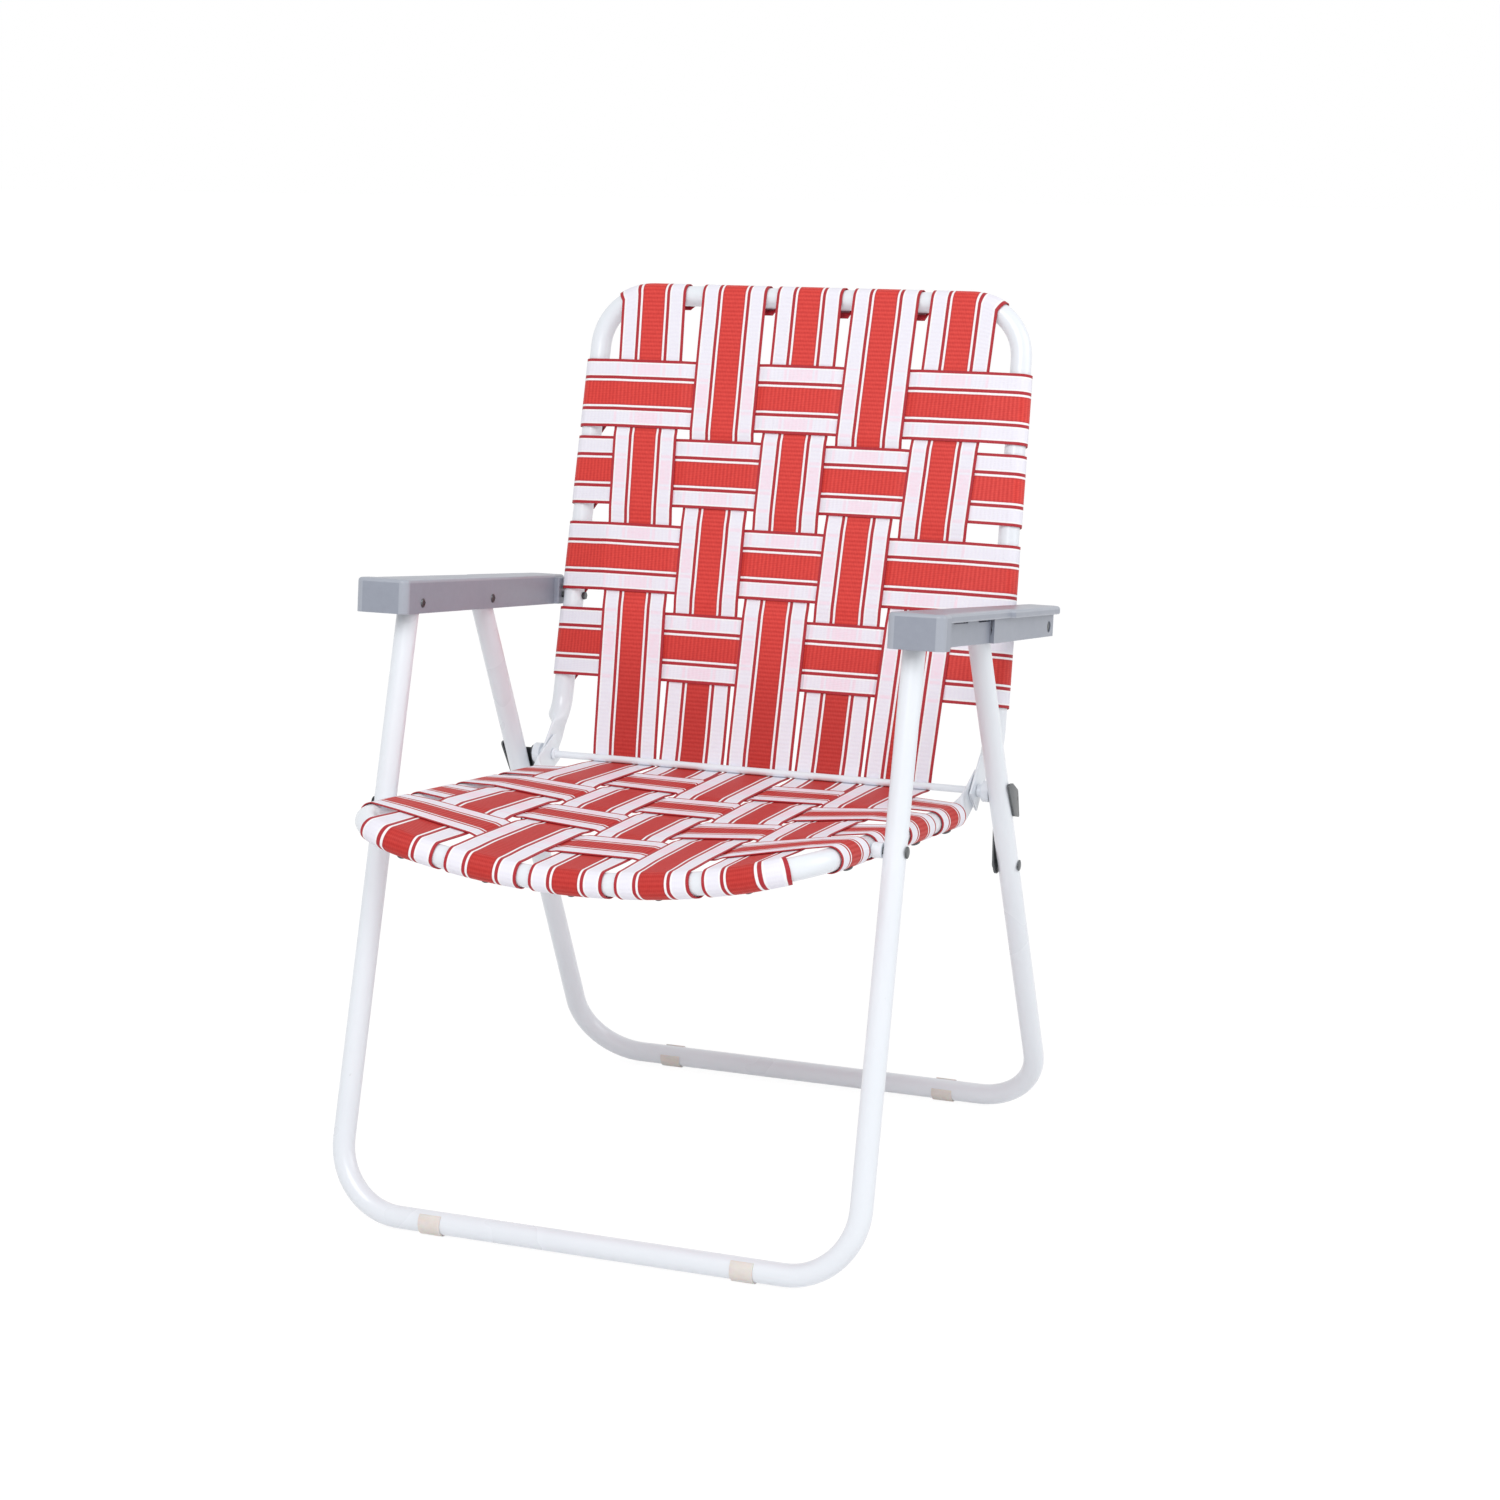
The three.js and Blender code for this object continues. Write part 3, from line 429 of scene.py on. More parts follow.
def finishMesh(name, mesh, material, body, replaces, sharp=38):
    mesh.materials.clear()
    mesh.materials.append(material)
    mesh.shade_smooth()
    mesh.set_sharp_from_angle(angle=math.radians(sharp))
    piece = addObject(name, mesh)
    if body:
        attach(piece, body)
    if replaces:
        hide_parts(*replaces)
    return piece


def meshOf(name, work):
    mesh = bpy.data.meshes.new(name)
    work.to_mesh(mesh)
    work.free()
    return mesh


def faceOut(work):
    bmesh.ops.recalc_face_normals(work, faces=work.faces[:])
    return work


# Runs one bmesh change on a plain mesh.
def rework(mesh, change):
    work = bmesh.new()
    work.from_mesh(mesh)
    change(work)
    work.to_mesh(mesh)
    work.free()


# Rings of points joined into one closed skin, in the shared frame.
def loftWork(rings, cyclic):
    work = bmesh.new()
    rows = [[work.verts.new(toFrame(point)) for point in ring] for ring in rings]
    count = len(rows[0])
    spans = len(rows) if cyclic else len(rows) - 1
    for i in range(spans):
        here, there = rows[i], rows[(i + 1) % len(rows)]
        for j in range(count):
            k = (j + 1) % count
            work.faces.new((here[j], here[k], there[k], there[j]))
    if not cyclic:
        work.faces.new(list(reversed(rows[0])))
        work.faces.new(rows[-1])
    return faceOut(work)


# Paths
def roundedPath(corners, steps):
    path = []
    for i, (point, radius) in enumerate(corners):
        if not radius:
            path.append(point.copy())
            continue
        back = (corners[i - 1][0] - point).normalized()
        ahead = (corners[(i + 1) % len(corners)][0] - point).normalized()
        half = back.angle(ahead) / 2
        centre = point + (back + ahead).normalized() * (radius / math.sin(half))
        arm = point + back * (radius / math.tan(half)) - centre
        axis = ahead.cross(back).normalized()
        for k in range(steps + 1):
            turn = Quaternion(axis, (math.pi - 2 * half) * k / steps)
            path.append(centre + turn @ arm)
    return path


def mirrored(corners):
    return [(Vector((-p.x, p.y, p.z)), radius) for p, radius in reversed(corners)]


def pathLengths(path):
    lengths = [0.0]
    for a, b in zip(path, path[1:]):
        lengths.append(lengths[-1] + (b - a).length)
    return lengths


def tangentAt(path, i):
    come = (path[i] - path[max(i - 1, 0)]).normalized()
    go = (path[min(i + 1, len(path) - 1)] - path[i]).normalized()
    return (come + go).normalized()


def crossing(path, x):
    for i in range(1, len(path)):
        a, b = path[i - 1], path[i]
        if a.x != b.x and (b.x - x) * (a.x - x) <= 0:
            share = (x - a.x) / (b.x - a.x)
            tangent = tangentAt(path, i - 1).lerp(tangentAt(path, i), share).normalized()
            return a.lerp(b, share), tangent
    raise ValueError(f"no crossing at {x}")


# Side view of the folding linkage, as in the drawing
linkage = dict(
    floorBarSpread=509.2,
    floorBarZ=10.7664,
    armPivot=(-112.7, 511.8),
    armSlope=math.radians(6.64),
    rearLegReach=146.3,
    backReach=296.8,
    seatPivotDrop=173.8,
    linkRivetDrop=250,
    hinge=(119.5, 336.5),
)
frontBar = Vector((0, -linkage["floorBarSpread"] / 2, linkage["floorBarZ"]))
rearBar = Vector((0, linkage["floorBarSpread"] / 2, linkage["floorBarZ"]))
frontArmPivot = Vector((0, *linkage["armPivot"]))
alongArm = Vector((0, math.cos(linkage["armSlope"]), -math.sin(linkage["armSlope"])))
rearArmPivot = frontArmPivot + alongArm * linkage["rearLegReach"]
backArmPivot = frontArmPivot + alongArm * linkage["backReach"]
downFrontLeg = (frontBar - frontArmPivot).normalized()
downRearLeg = (rearBar - rearArmPivot).normalized()
seatPivot = frontArmPivot + downFrontLeg * linkage["seatPivotDrop"]
linkRivet = rearArmPivot + downRearLeg * linkage["linkRivetDrop"]
hinge = Vector((0, *linkage["hinge"]))

tube = dict(radius=9.5, wall=1.0, sides=36, bendSteps=16, fitGap=0.3)
plate = dict(
    thickness=2.8,
    halfHeight=14,
    tip=12.5,
    reach=24,
    fade=20,
    slit=0.4,
    squareness=0.5,
    stops=12,
    backX=209.9,
)


def withStops(path):
    lengths = pathLengths(path)
    total = lengths[-1]
    placed = list(zip(lengths, path))
    for k in range(plate["stops"] + 1):
        stop = plate["tip"] + plate["reach"] + plate["fade"] * k / plate["stops"]
        for along in (stop, total - stop):
            i = next(n for n, length in enumerate(lengths) if length > along)
            if min(along - lengths[i - 1], lengths[i] - along) < tube["fitGap"]:
                continue
            share = (along - lengths[i - 1]) / (lengths[i] - lengths[i - 1])
            placed.append((along, path[i - 1].lerp(path[i], share)))
    return [point for _, point in sorted(placed, key=lambda item: item[0])]


# A bent tube with an open bore; plateShift presses its ends flat and moves them sideways.
def tubeWork(path, planeNormal, plateShift=None):
    line = path if plateShift is None else withStops(path)
    lengths = pathLengths(line)
    rings = []
    for shrink in (0, tube["wall"]):
        layer = []
        for i, point in enumerate(line):
            fromEnd = min(lengths[i], lengths[-1] - lengths[i]) - plate["tip"] - plate["reach"]
            pressed = 0 if plateShift is None else 1 - smooth(fromEnd / plate["fade"])
            tangent = tangentAt(line, i)
            lateral = tangent.cross(planeNormal).normalized()
            upright = tangent.cross(lateral)
            thin = (plate["slit"] if shrink else plate["thickness"]) / 2
            tall = mix(tube["radius"], plate["halfHeight"], pressed) - shrink
            thick = mix(tube["radius"] - shrink, thin, pressed)
            power = mix(1, plate["squareness"], pressed)
            centre = point.copy()
            if plateShift is not None:
                centre.x += math.copysign(1, point.x) * pressed * plateShift
            ring = []
            for k in range(tube["sides"]):
                angle = (k + 0.5) / tube["sides"] * 2 * math.pi
                c, s = math.cos(angle), math.sin(angle)
                side = lateral * (thick * math.copysign(abs(c) ** power, c))
                ring.append(centre + side + upright * (tall * math.copysign(abs(s) ** power, s)))
            layer.append(ring)
        rings += layer if shrink == 0 else layer[::-1]
    return loftWork(rings, True)


# Leg frames
legs = dict(frontTopX=229.8, frontFootX=234.8, rearX=235.8, bendRadius=60, pastPivot=10)


def frontLegX(drop):
    return mix(legs["frontTopX"], legs["frontFootX"], drop / (frontBar - frontArmPivot).length)


def makeLegFrame(name, node, body, pivot, bar, legX):
    down = (bar - pivot).normalized()

    def along(drop):
        point = pivot + down * drop
        point.x = legX(drop)
        return point

    half = [(along(-legs["pastPivot"]), 0), (along((bar - pivot).length), legs["bendRadius"])]
    path = roundedPath(half + mirrored(half), tube["bendSteps"])
    work = tubeWork(path, down.cross(xAxis))
    finishMesh(name, meshOf(name, work), paint, body, [node])


makeLegFrame("frontLegTube", "front_leg_frame", "front_legs", frontArmPivot, frontBar, frontLegX)
makeLegFrame(
    "rearLegTube", "rear_leg_frame", "rear_legs", rearArmPivot, rearBar, lambda drop: legs["rearX"]
)

# Seat frame
seat = dict(
    x=203,
    slope=math.radians(5.4),
    frontY=-280,
    frontDip=31,
    cornerRadius=48,
    barShare=0.73,
    barSteps=12,
    bendY=84,
    bendRadius=28,
    plateX=plate["backX"] - plate["thickness"] - tube["fitGap"],
)


def seatTubeZ(y):
    return seatPivot.z - (y - seatPivot.y) * math.tan(seat["slope"])


def seatBarZ(x):
    return seatTubeZ(seat["frontY"]) - seat["frontDip"] * (1 - (x / seat["x"]) ** 2)


seatBend = Vector((0, seat["bendY"], seatTubeZ(seat["bendY"])))
seatTip = hinge + (hinge - seatBend).normalized() * plate["tip"]
seatHalf = [
    (Vector((seat["x"], seatTip.y, seatTip.z)), 0),
    (Vector((seat["x"], seatBend.y, seatBend.z)), seat["bendRadius"]),
    (Vector((seat["x"], seat["frontY"], seatBarZ(seat["x"]))), seat["cornerRadius"]),
]
for k in range(seat["barSteps"]):
    barX = seat["x"] * seat["barShare"] * (1 - k / seat["barSteps"])
    seatHalf.append((Vector((barX, seat["frontY"], seatBarZ(barX))), 0))
seatMiddle = (Vector((0, seat["frontY"], seatBarZ(0))), 0)
seatPath = roundedPath(seatHalf + [seatMiddle] + mirrored(seatHalf), tube["bendSteps"])
seatWork = tubeWork(seatPath, upward, seat["plateX"] - seat["x"])
finishMesh("seatTube", meshOf("seatTube", seatWork), paint, "seat", ["seat_frame"])

# Back frame
back = dict(
    recline=math.radians(13.4),
    x=211.9,
    taper=0.019,
    topRise=287,
    cornerRadius=50,
    bendDrop=105,
    bendRadius=34,
)
backUp = Vector((0, math.sin(back["recline"]), math.cos(back["recline"])))
backFront = Vector((0, -math.cos(back["recline"]), math.sin(back["recline"])))


def onBack(x, rise, front):
    point = backArmPivot + backUp * rise + backFront * front
    point.x = x
    return point


def backX(rise):
    return back["x"] - back["taper"] * rise


lowX = backX(-back["bendDrop"])
backBend = onBack(lowX, -back["bendDrop"], 0)
backTip = hinge + (hinge - onBack(0, -back["bendDrop"], 0)).normalized() * plate["tip"]
backTip.x = lowX
backHalf = [
    (backTip, 0),
    (backBend, back["bendRadius"]),
    (onBack(backX(back["topRise"]), back["topRise"], 0), back["cornerRadius"]),
]
backPath = roundedPath(backHalf + mirrored(backHalf), tube["bendSteps"])
backWork = tubeWork(backPath, backFront, plate["backX"] - lowX)
finishMesh("backTube", meshOf("backTube", backWork), paint, "back", ["back_frame"])
print("tubes swept")


# Fittings turned about the X axis
pins = dict(
    radius=3,
    gap=0.35,
    headRadius=5,
    headRim=0.35,
    headSteps=6,
    nutHeight=2.6,
    nutRadius=3.9,
    nutEdge=0.5,
    nutSides=6,
    rivetHeight=1.2,
    linkHeadHeight=2.8,
    seatSpacerRadius=6.5,
    rodRadius=3.25,
    rodSpacerRadius=5.5,
    bossRadius=9.4,
    bossLength=7,
    collarRadius=5.5,
    collarLength=3,
    edge=0.6,
    sleeveEdge=0.4,
    around=36,
    weld=1e-7,
)


# A closed skin from [radius, distance] pairs along the axis.
def turnedWork(profile, centre, side, around):
    work = bmesh.new()
    rings = []
    for radius, along in profile:
        place = centre + Vector((side * along, 0, 0))
        if radius == 0:
            rings.append([work.verts.new(toFrame(place))])
            continue
        ring = []
        for k in range(around):
            angle = 2 * math.pi * k / around
            spoke = Vector((0, math.cos(angle), math.sin(angle))) * radius
            ring.append(work.verts.new(toFrame(place + spoke)))
        rings.append(ring)
    for here, there in zip(rings, rings[1:]):
        for k in range(around):
            n = (k + 1) % around
            if len(here) == 1:
                work.faces.new((here[0], there[n], there[k]))
            elif len(there) == 1:
                work.faces.new((here[k], here[n], there[0]))
            else:
                work.faces.new((here[k], here[n], there[n], there[k]))
    bmesh.ops.remove_doubles(work, verts=work.verts[:], dist=pins["weld"])
    return faceOut(work)


# A domed head from the face that it sits on; way is +1 or -1 along the axis.
def domedHead(height, face, way):
    radius, rim, steps = pins["headRadius"], pins["headRim"], pins["headSteps"]
    points = [(radius, face), (radius, face + way * height * rim)]
    for k in range(1, steps):
        angle = k / steps * math.pi / 2
        rise = rim + (1 - rim) * math.sin(angle)
        points.append((radius * math.cos(angle), face + way * height * rise))
    return points + [(0, face + way * height)]


def rivetProfile(start, startHeight, end, endHeight):
    shank = [(pins["radius"], start), (pins["radius"], end)]
    return domedHead(startHeight, start, -1)[::-1] + shank + domedHead(endHeight, end, 1)


def boltProfile(start, end):
    shank = [(0, start), (pins["radius"], start), (pins["radius"], end)]
    return shank + domedHead(pins["nutHeight"], end, 1)


def makeTurned(name, node, body, material, centre, profile, side, around=pins["around"]):
    work = turnedWork(profile, centre, side, around)
    finishMesh(name, meshOf(name, work), material, body, [node])


links = dict(
    metal=1.7,
    play=0.6,
    plate=[
        (-9, -9, 8.6),
        (9.3, -9, 8.6),
        (20, 77, 6.2),
        (6.3, 77, 6.2),
        (6.3, 40, 12),
        (-9, 8, 7),
    ],
    plateSteps=10,
    hookTop=86,
    hookPeak=93,
    hookFoot=45.4,
    hookFront=5,
    hookBack=17.7,
    hookCut=10.7,
    hookRadii=(1.5, 6, 6, 2.5, 3),
    hookSteps=6,
    edge=0.4,
)
linkInnerX = legs["rearX"] - tube["radius"] - links["play"] - links["metal"]
linkOuterX = legs["rearX"] + tube["radius"] + links["play"] + links["metal"]
spacerOuterX = linkInnerX - 2 * tube["fitGap"]


def sleeve(inner, outer, start, end):
    edge = min(pins["sleeveEdge"], (outer - inner) / 3)
    return [
        (inner, start),
        (outer - edge, start),
        (outer, start + edge),
        (outer, end - edge),
        (outer - edge, end),
        (inner, end),
        (inner, start),
    ]


collarX = seat["plateX"] - plate["thickness"] / 2 - tube["fitGap"]
collarEnd = collarX - pins["collarLength"]
rodHalf = [
    (0, spacerOuterX),
    (pins["rodRadius"] - pins["edge"], spacerOuterX),
    (pins["rodRadius"], spacerOuterX - pins["edge"]),
    (pins["rodRadius"], collarX),
    (pins["collarRadius"] - pins["edge"], collarX),
    (pins["collarRadius"], collarX - pins["edge"]),
    (pins["collarRadius"], collarEnd + pins["edge"]),
    (pins["collarRadius"] - pins["edge"], collarEnd),
    (pins["rodRadius"], collarEnd),
]
rodProfile = [(radius, -along) for radius, along in rodHalf] + rodHalf[::-1]
makeTurned("hingeRod", "hinge_rod", "seat", paint, hinge, rodProfile, 1)

spacerStart = plate["backX"] + plate["thickness"] / 2 + tube["fitGap"]
bossStart = spacerOuterX - pins["bossLength"]
bore = pins["rodRadius"] + pins["gap"]
neck = pins["rodSpacerRadius"]
hingeSpacer = [(bore, spacerStart), (neck, spacerStart), (neck, bossStart)]
hingeSpacer += sleeve(bore, pins["bossRadius"], bossStart, spacerOuterX)[1:-1]
hingeSpacer += [(bore, spacerStart)]

seatLegX = frontLegX(linkage["seatPivotDrop"])
rivetIn = seat["x"] - tube["radius"] - tube["fitGap"]
rivetOut = seatLegX + tube["radius"] + 2 * tube["fitGap"]
seatRivet = rivetProfile(rivetIn, pins["rivetHeight"], rivetOut, pins["rivetHeight"])
gapStart = seat["x"] + tube["radius"] + tube["fitGap"]
gapEnd = seatLegX - tube["radius"] - 2 * tube["fitGap"]
seatSpacer = sleeve(pins["radius"] + pins["gap"], pins["seatSpacerRadius"], gapStart, gapEnd)

linkIn = linkInnerX - tube["fitGap"]
linkOut = legs["rearX"] + tube["radius"] + tube["fitGap"]
linkPin = rivetProfile(linkIn, pins["linkHeadHeight"], linkOut, pins["rivetHeight"])
studEnd = linkInnerX + links["metal"]
linkStud = [(0, linkIn), (pins["rodRadius"], linkIn), (pins["rodRadius"], studEnd), (0, studEnd)]
for hand, side in handSides.items():
    fittings = [
        ("hingeSpacer", "hinge_spacer", "seat", paint, hinge, hingeSpacer),
        ("seatPivotRivet", "seat_pivot_rivet", "front_legs", zinc, seatPivot, seatRivet),
        ("seatPivotSpacer", "seat_pivot_spacer", "front_legs", paint, seatPivot, seatSpacer),
        ("linkRivet", "link_rivet", "rear_legs", zinc, linkRivet, linkPin),
        ("linkStud", "link_stud", "link_" + hand, zinc, hinge, linkStud),
    ]
    for name, node, body, material, centre, profile in fittings:
        makeTurned(f"{name}.{hand}", f"{node}_{hand}", body, material, centre, profile, side)
print("pins turned")


# Outlines and cuts
def arcPoints(x, y, radius, start, end, steps):
    angles = [start + (end - start) / steps * k for k in range(steps + 1)]
    return [(x + radius * math.cos(angle), y + radius * math.sin(angle)) for angle in angles]


def flatPath(corners, steps):
    return [(point.x, point.y) for point in roundedPath(corners, steps)]


def extrudedWork(outline, bottom, top):
    work = bmesh.new()
    floor = [work.verts.new((x, y, bottom)) for x, y in outline]
    roof = [work.verts.new((x, y, top)) for x, y in outline]
    count = len(outline)
    for k in range(count):
        n = (k + 1) % count
        work.faces.new((floor[k], floor[n], roof[n], roof[k]))
    work.faces.new(floor[::-1])
    work.faces.new(roof)
    return faceOut(work)


def scratchObject(name, work):
    return addObject(name, meshOf(name, work))


# Boolean steps on scratch objects, baked to a plain mesh without slivers.
carving = dict(bevelSteps=3, bevelAngle=math.radians(40), sliver=0.002)


def carve(name, base, steps, bevel=0):
    for operation, tool in steps:
        change = base.modifiers.new(operation, "BOOLEAN")
        change.operation = operation
        change.solver = "EXACT"
        change.object = tool
    if bevel:
        edge = base.modifiers.new("edge", "BEVEL")
        edge.width = bevel
        edge.segments = carving["bevelSteps"]
        edge.limit_method = "ANGLE"
        edge.angle_limit = carving["bevelAngle"]
    mesh = bakedMesh(base)
    mesh.name = name

    def clean(work):
        bmesh.ops.dissolve_degenerate(work, edges=work.edges[:], dist=carving["sliver"])

    rework(mesh, clean)
    for scrap in [base] + [tool for _, tool in steps]:
        bpy.data.objects.remove(scrap)
    return mesh


def placing(point):
    return Matrix.Scale(mm, 4) @ Matrix.Translation(point + drawingShift)


# Lock links: a plate inside each rear leg, whose upper end hooks round the leg's rear
linkRise = (linkRivet - hinge).dot(downRearLeg)
legTurn = Matrix.Rotation(math.atan2(downRearLeg.y, -downRearLeg.z), 4, "X")


def makeLink(hand, side):
    metal = links["metal"]
    width = linkOuterX - linkInnerX
    foot = Vector((tube["radius"] + links["play"] + metal, links["hookFoot"], 0))
    rear = Vector((links["hookBack"], links["hookTop"] - math.sqrt(2) * links["hookCut"], 0))
    points = [
        foot,
        rear,
        Vector((links["hookBack"] - links["hookCut"], links["hookTop"], 0)),
        Vector((-links["hookFront"], links["hookPeak"], 0)),
        Vector((0, links["hookFoot"] + tube["radius"], 0)),
    ]
    hook = flatPath(list(zip(points, links["hookRadii"])), links["hookSteps"])
    rising = (rear - foot).normalized()
    inside = foot + Vector((-rising.y, rising.x, 0)) * metal
    reach = 2 * linkRise
    low, high = inside - rising * reach, inside + rising * reach
    hollow = [(low.x, low.y), (high.x, high.y), (-reach, reach), (-reach, -reach)]
    corners = [(Vector((x, y, 0)), radius) for x, y, radius in links["plate"]]
    flat = flatPath(corners, links["plateSteps"])
    base = scratchObject("linkHook", extrudedWork(hook, 0, width))
    tool = scratchObject("linkHollow", extrudedWork(hollow, -metal, width - metal))
    sheet = scratchObject("linkPlate", extrudedWork(flat, 0, metal))
    name = "lockLink." + hand
    mesh = carve(name, base, [("DIFFERENCE", tool), ("UNION", sheet)], links["edge"])
    upright = Matrix(((0, 0, side, 0), (1, 0, 0, 0), (0, 1, 0, 0), (0, 0, 0, 1)))
    place = linkRivet.copy()
    place.x = side * linkInnerX
    mesh.transform(placing(place) @ legTurn @ upright)
    if side < 0:
        mesh.flip_normals()
    finishMesh(name, mesh, zinc, "link_" + hand, ["lock_link_" + hand], sharp=30)


for hand, side in handSides.items():
    makeLink(hand, side)
print("lock links cut")

# Moulded arms, drawn flat with Y along the arm
arm = dict(
    wall=2,
    play=1.7,
    frontReach=33,
    rearPast=15.5,
    blockLength=18,
    blockWidth=48,
    lipWidth=42.6,
    lipStep=3.5,
    lipStepPlace=165,
    lipDepth=8,
    outerWall=30.7,
    wallStepPlace=133,
    wallStep=7.6,
    flareStart=60,
    flare=3.8,
    bottomDrop=9,
    topRise=20.5,
    topFall=0.11,
    roof=3,
    corner=7,
    endRadius=11,
    innerEndRadius=3,
    padStart=287,
    padDepth=4.8,
    padInset=0.2,
    padChamfer=1,
    edgeRound=1.4,
    topRound=3,
    roundSteps=5,
    level=1e-6,
    arcSteps=12,
    holeSteps=24,
    cutPast=1,
    notches=[(45, 80), (104, 131)],
    notchDepth=2.6,
    notchPast=0.5,
    slot=[(34.8, 12), (37.6, 12), (36.6, 5), (35.6, -2), (35.2, -2)],
    rimWidth=1.2,
    rimAngles=(math.radians(3), math.radians(30)),
)
armInnerX = legs["frontTopX"] - tube["radius"] - arm["play"] - arm["wall"]
armSlant = (legs["rearX"] - legs["frontTopX"]) / linkage["rearLegReach"]
armEnd = linkage["backReach"] + arm["rearPast"]
armRearWall = arm["outerWall"] + arm["wallStep"]


def innerFace(along):
    return armSlant * along


# A quarter circle, counted from +X.
def armArc(x, y, radius, quarter):
    start = quarter * math.pi / 2
    return arcPoints(x, y, radius, start, start + math.pi / 2, arm["arcSteps"])


def armTopOutline():
    front, corner, end = -arm["frontReach"], arm["corner"], arm["endRadius"]
    block, lip = arm["blockWidth"], arm["lipWidth"]
    wide = lip + arm["lipStep"]
    inner = arm["innerEndRadius"]
    shoulder = front + arm["blockLength"]
    outline = armArc(innerFace(front + corner) + corner, front + corner, corner, 2)
    outline += armArc(block - corner, front + corner, corner, 3)
    outline += [(block, shoulder), (lip, shoulder + block - lip), (lip, arm["lipStepPlace"])]
    outline += [(wide, arm["lipStepPlace"] + arm["lipStep"])]
    outline += armArc(wide - end, armEnd - end, end, 0)
    return outline + armArc(innerFace(armEnd - inner) + inner, armEnd - inner, inner, 1)


def armChannelOutline(inset):
    front, corner = -arm["frontReach"] + inset, arm["corner"] - inset
    end = armEnd - arm["wall"] - inset
    wide, outer, rear = (w - inset for w in (arm["blockWidth"], arm["outerWall"], armRearWall))
    shoulder = front + arm["blockLength"] - 2 * inset
    stepPlace = arm["wallStepPlace"] + inset
    outline = armArc(innerFace(front + corner) + inset + corner, front + corner, corner, 2)
    outline += armArc(wide - corner, front + corner, corner, 3)
    outline += [(wide, shoulder), (outer, shoulder), (outer, arm["flareStart"])]
    outline += [(outer + arm["flare"], stepPlace), (rear, stepPlace), (rear, end)]
    return outline + [(innerFace(end) + inset, end)]


def armMatrix(side):
    origin = frontArmPivot.copy()
    origin.x = side * armInnerX
    slope = Matrix.Rotation(-linkage["armSlope"], 4, "X")
    return placing(origin) @ slope @ Matrix.Diagonal((side, 1, 1, 1))


# A cutting tool whose outline lies across one of the arm's axes.
def armTool(axis, outline, start, end):
    work = extrudedWork(outline, start, end)
    for vert in work.verts:
        u, v, w = vert.co
        vert.co = {"x": (w, u, v), "y": (u, w, v), "z": (u, v, w)}[axis]
    return scratchObject("armTool", faceOut(work))


# The narrow faces of rounded edges are marked for a painted highlight, lighter than the plastic.
def markHighlightRims(work):
    layer = work.loops.layers.float.new("paintedRimHighlight")
    low, high = arm["rimAngles"]
    for face in work.faces:
        width = face.calc_area() / max(edge.calc_length() for edge in face.edges)
        bent = any(low < edge.calc_face_angle(0) < high for edge in face.edges)
        for loop in face.loops:
            loop[layer] = 1 if bent and width < arm["rimWidth"] else 0


def roundRim(work, height, size):
    level, steps = arm["level"], arm["roundSteps"]
    rim = [e for e in work.edges if all(abs(v.co.z - height) < level for v in e.verts)]
    bmesh.ops.bevel(
        work, geom=rim, offset=size, segments=steps, profile=0.5, affect="EDGES", clamp_overlap=True
    )


def makeArm(hand, side):
    past, wall = arm["cutPast"], arm["wall"]
    lipBottom = arm["topRise"] - arm["lipDepth"]
    wallTop = arm["topRise"] - arm["topRound"]
    roofWork = extrudedWork(armTopOutline(), lipBottom, arm["topRise"])
    roundRim(roofWork, arm["topRise"], arm["topRound"])
    roundRim(roofWork, lipBottom, arm["edgeRound"])
    roof = scratchObject("armRoof", roofWork)
    wallWork = extrudedWork(armChannelOutline(0), -arm["bottomDrop"], wallTop)
    walls = scratchObject("armWalls", wallWork)
    hollowTop = arm["topRise"] - arm["roof"]
    hollow = armTool("z", armChannelOutline(wall), -2 * arm["bottomDrop"], hollowTop)
    steps = [("UNION", roof), ("DIFFERENCE", hollow)]

    near, far = arm["outerWall"] - 2 * wall, arm["outerWall"] + arm["flare"] + past
    low, high = lipBottom - arm["notchDepth"], lipBottom + arm["notchPast"]
    for start, end in arm["notches"]:
        gap = [(near, start), (far, start), (far, end), (near, end)]
        steps.append(("DIFFERENCE", armTool("z", gap, low, high)))
    stepPlace = arm["wallStepPlace"]
    slot = armTool("y", arm["slot"], stepPlace - past, stepPlace + wall + past)
    steps.append(("DIFFERENCE", slot))

    start, end = arm["padStart"], armEnd - wall - arm["padInset"]
    depth, chamfer = arm["padDepth"], arm["padChamfer"]
    pad = [
        (innerFace(end) + past, end),
        (innerFace(start) + past, start),
        (innerFace(start) - depth + chamfer, start),
        (innerFace(start) - depth, start + chamfer),
        (innerFace(end) - depth, end),
    ]
    steps.append(("UNION", armTool("z", pad, -arm["bottomDrop"] + arm["padInset"], wallTop)))
    holeRadius = pins["headRadius"] + pins["gap"]
    hole = arcPoints(linkage["backReach"], 0, holeRadius, 0, 2 * math.pi, arm["holeSteps"])[:-1]
    headHole = armTool("x", hole, armRearWall - 2 * wall, armRearWall + past)
    steps.append(("DIFFERENCE", headHole))

    name = "armrest." + hand
    mesh = carve(name, walls, steps)
    rework(mesh, markHighlightRims)
    length = armEnd + arm["frontReach"]
    for vert in mesh.vertices:
        if vert.co.z > 0:
            vert.co.z *= 1 - arm["topFall"] * (vert.co.y + arm["frontReach"]) / length
    mesh.transform(armMatrix(side))
    if side < 0:
        mesh.flip_normals()
    finishMesh(name, mesh, armPlastic, "arm_" + hand, ["armrest_" + hand], sharp=32)


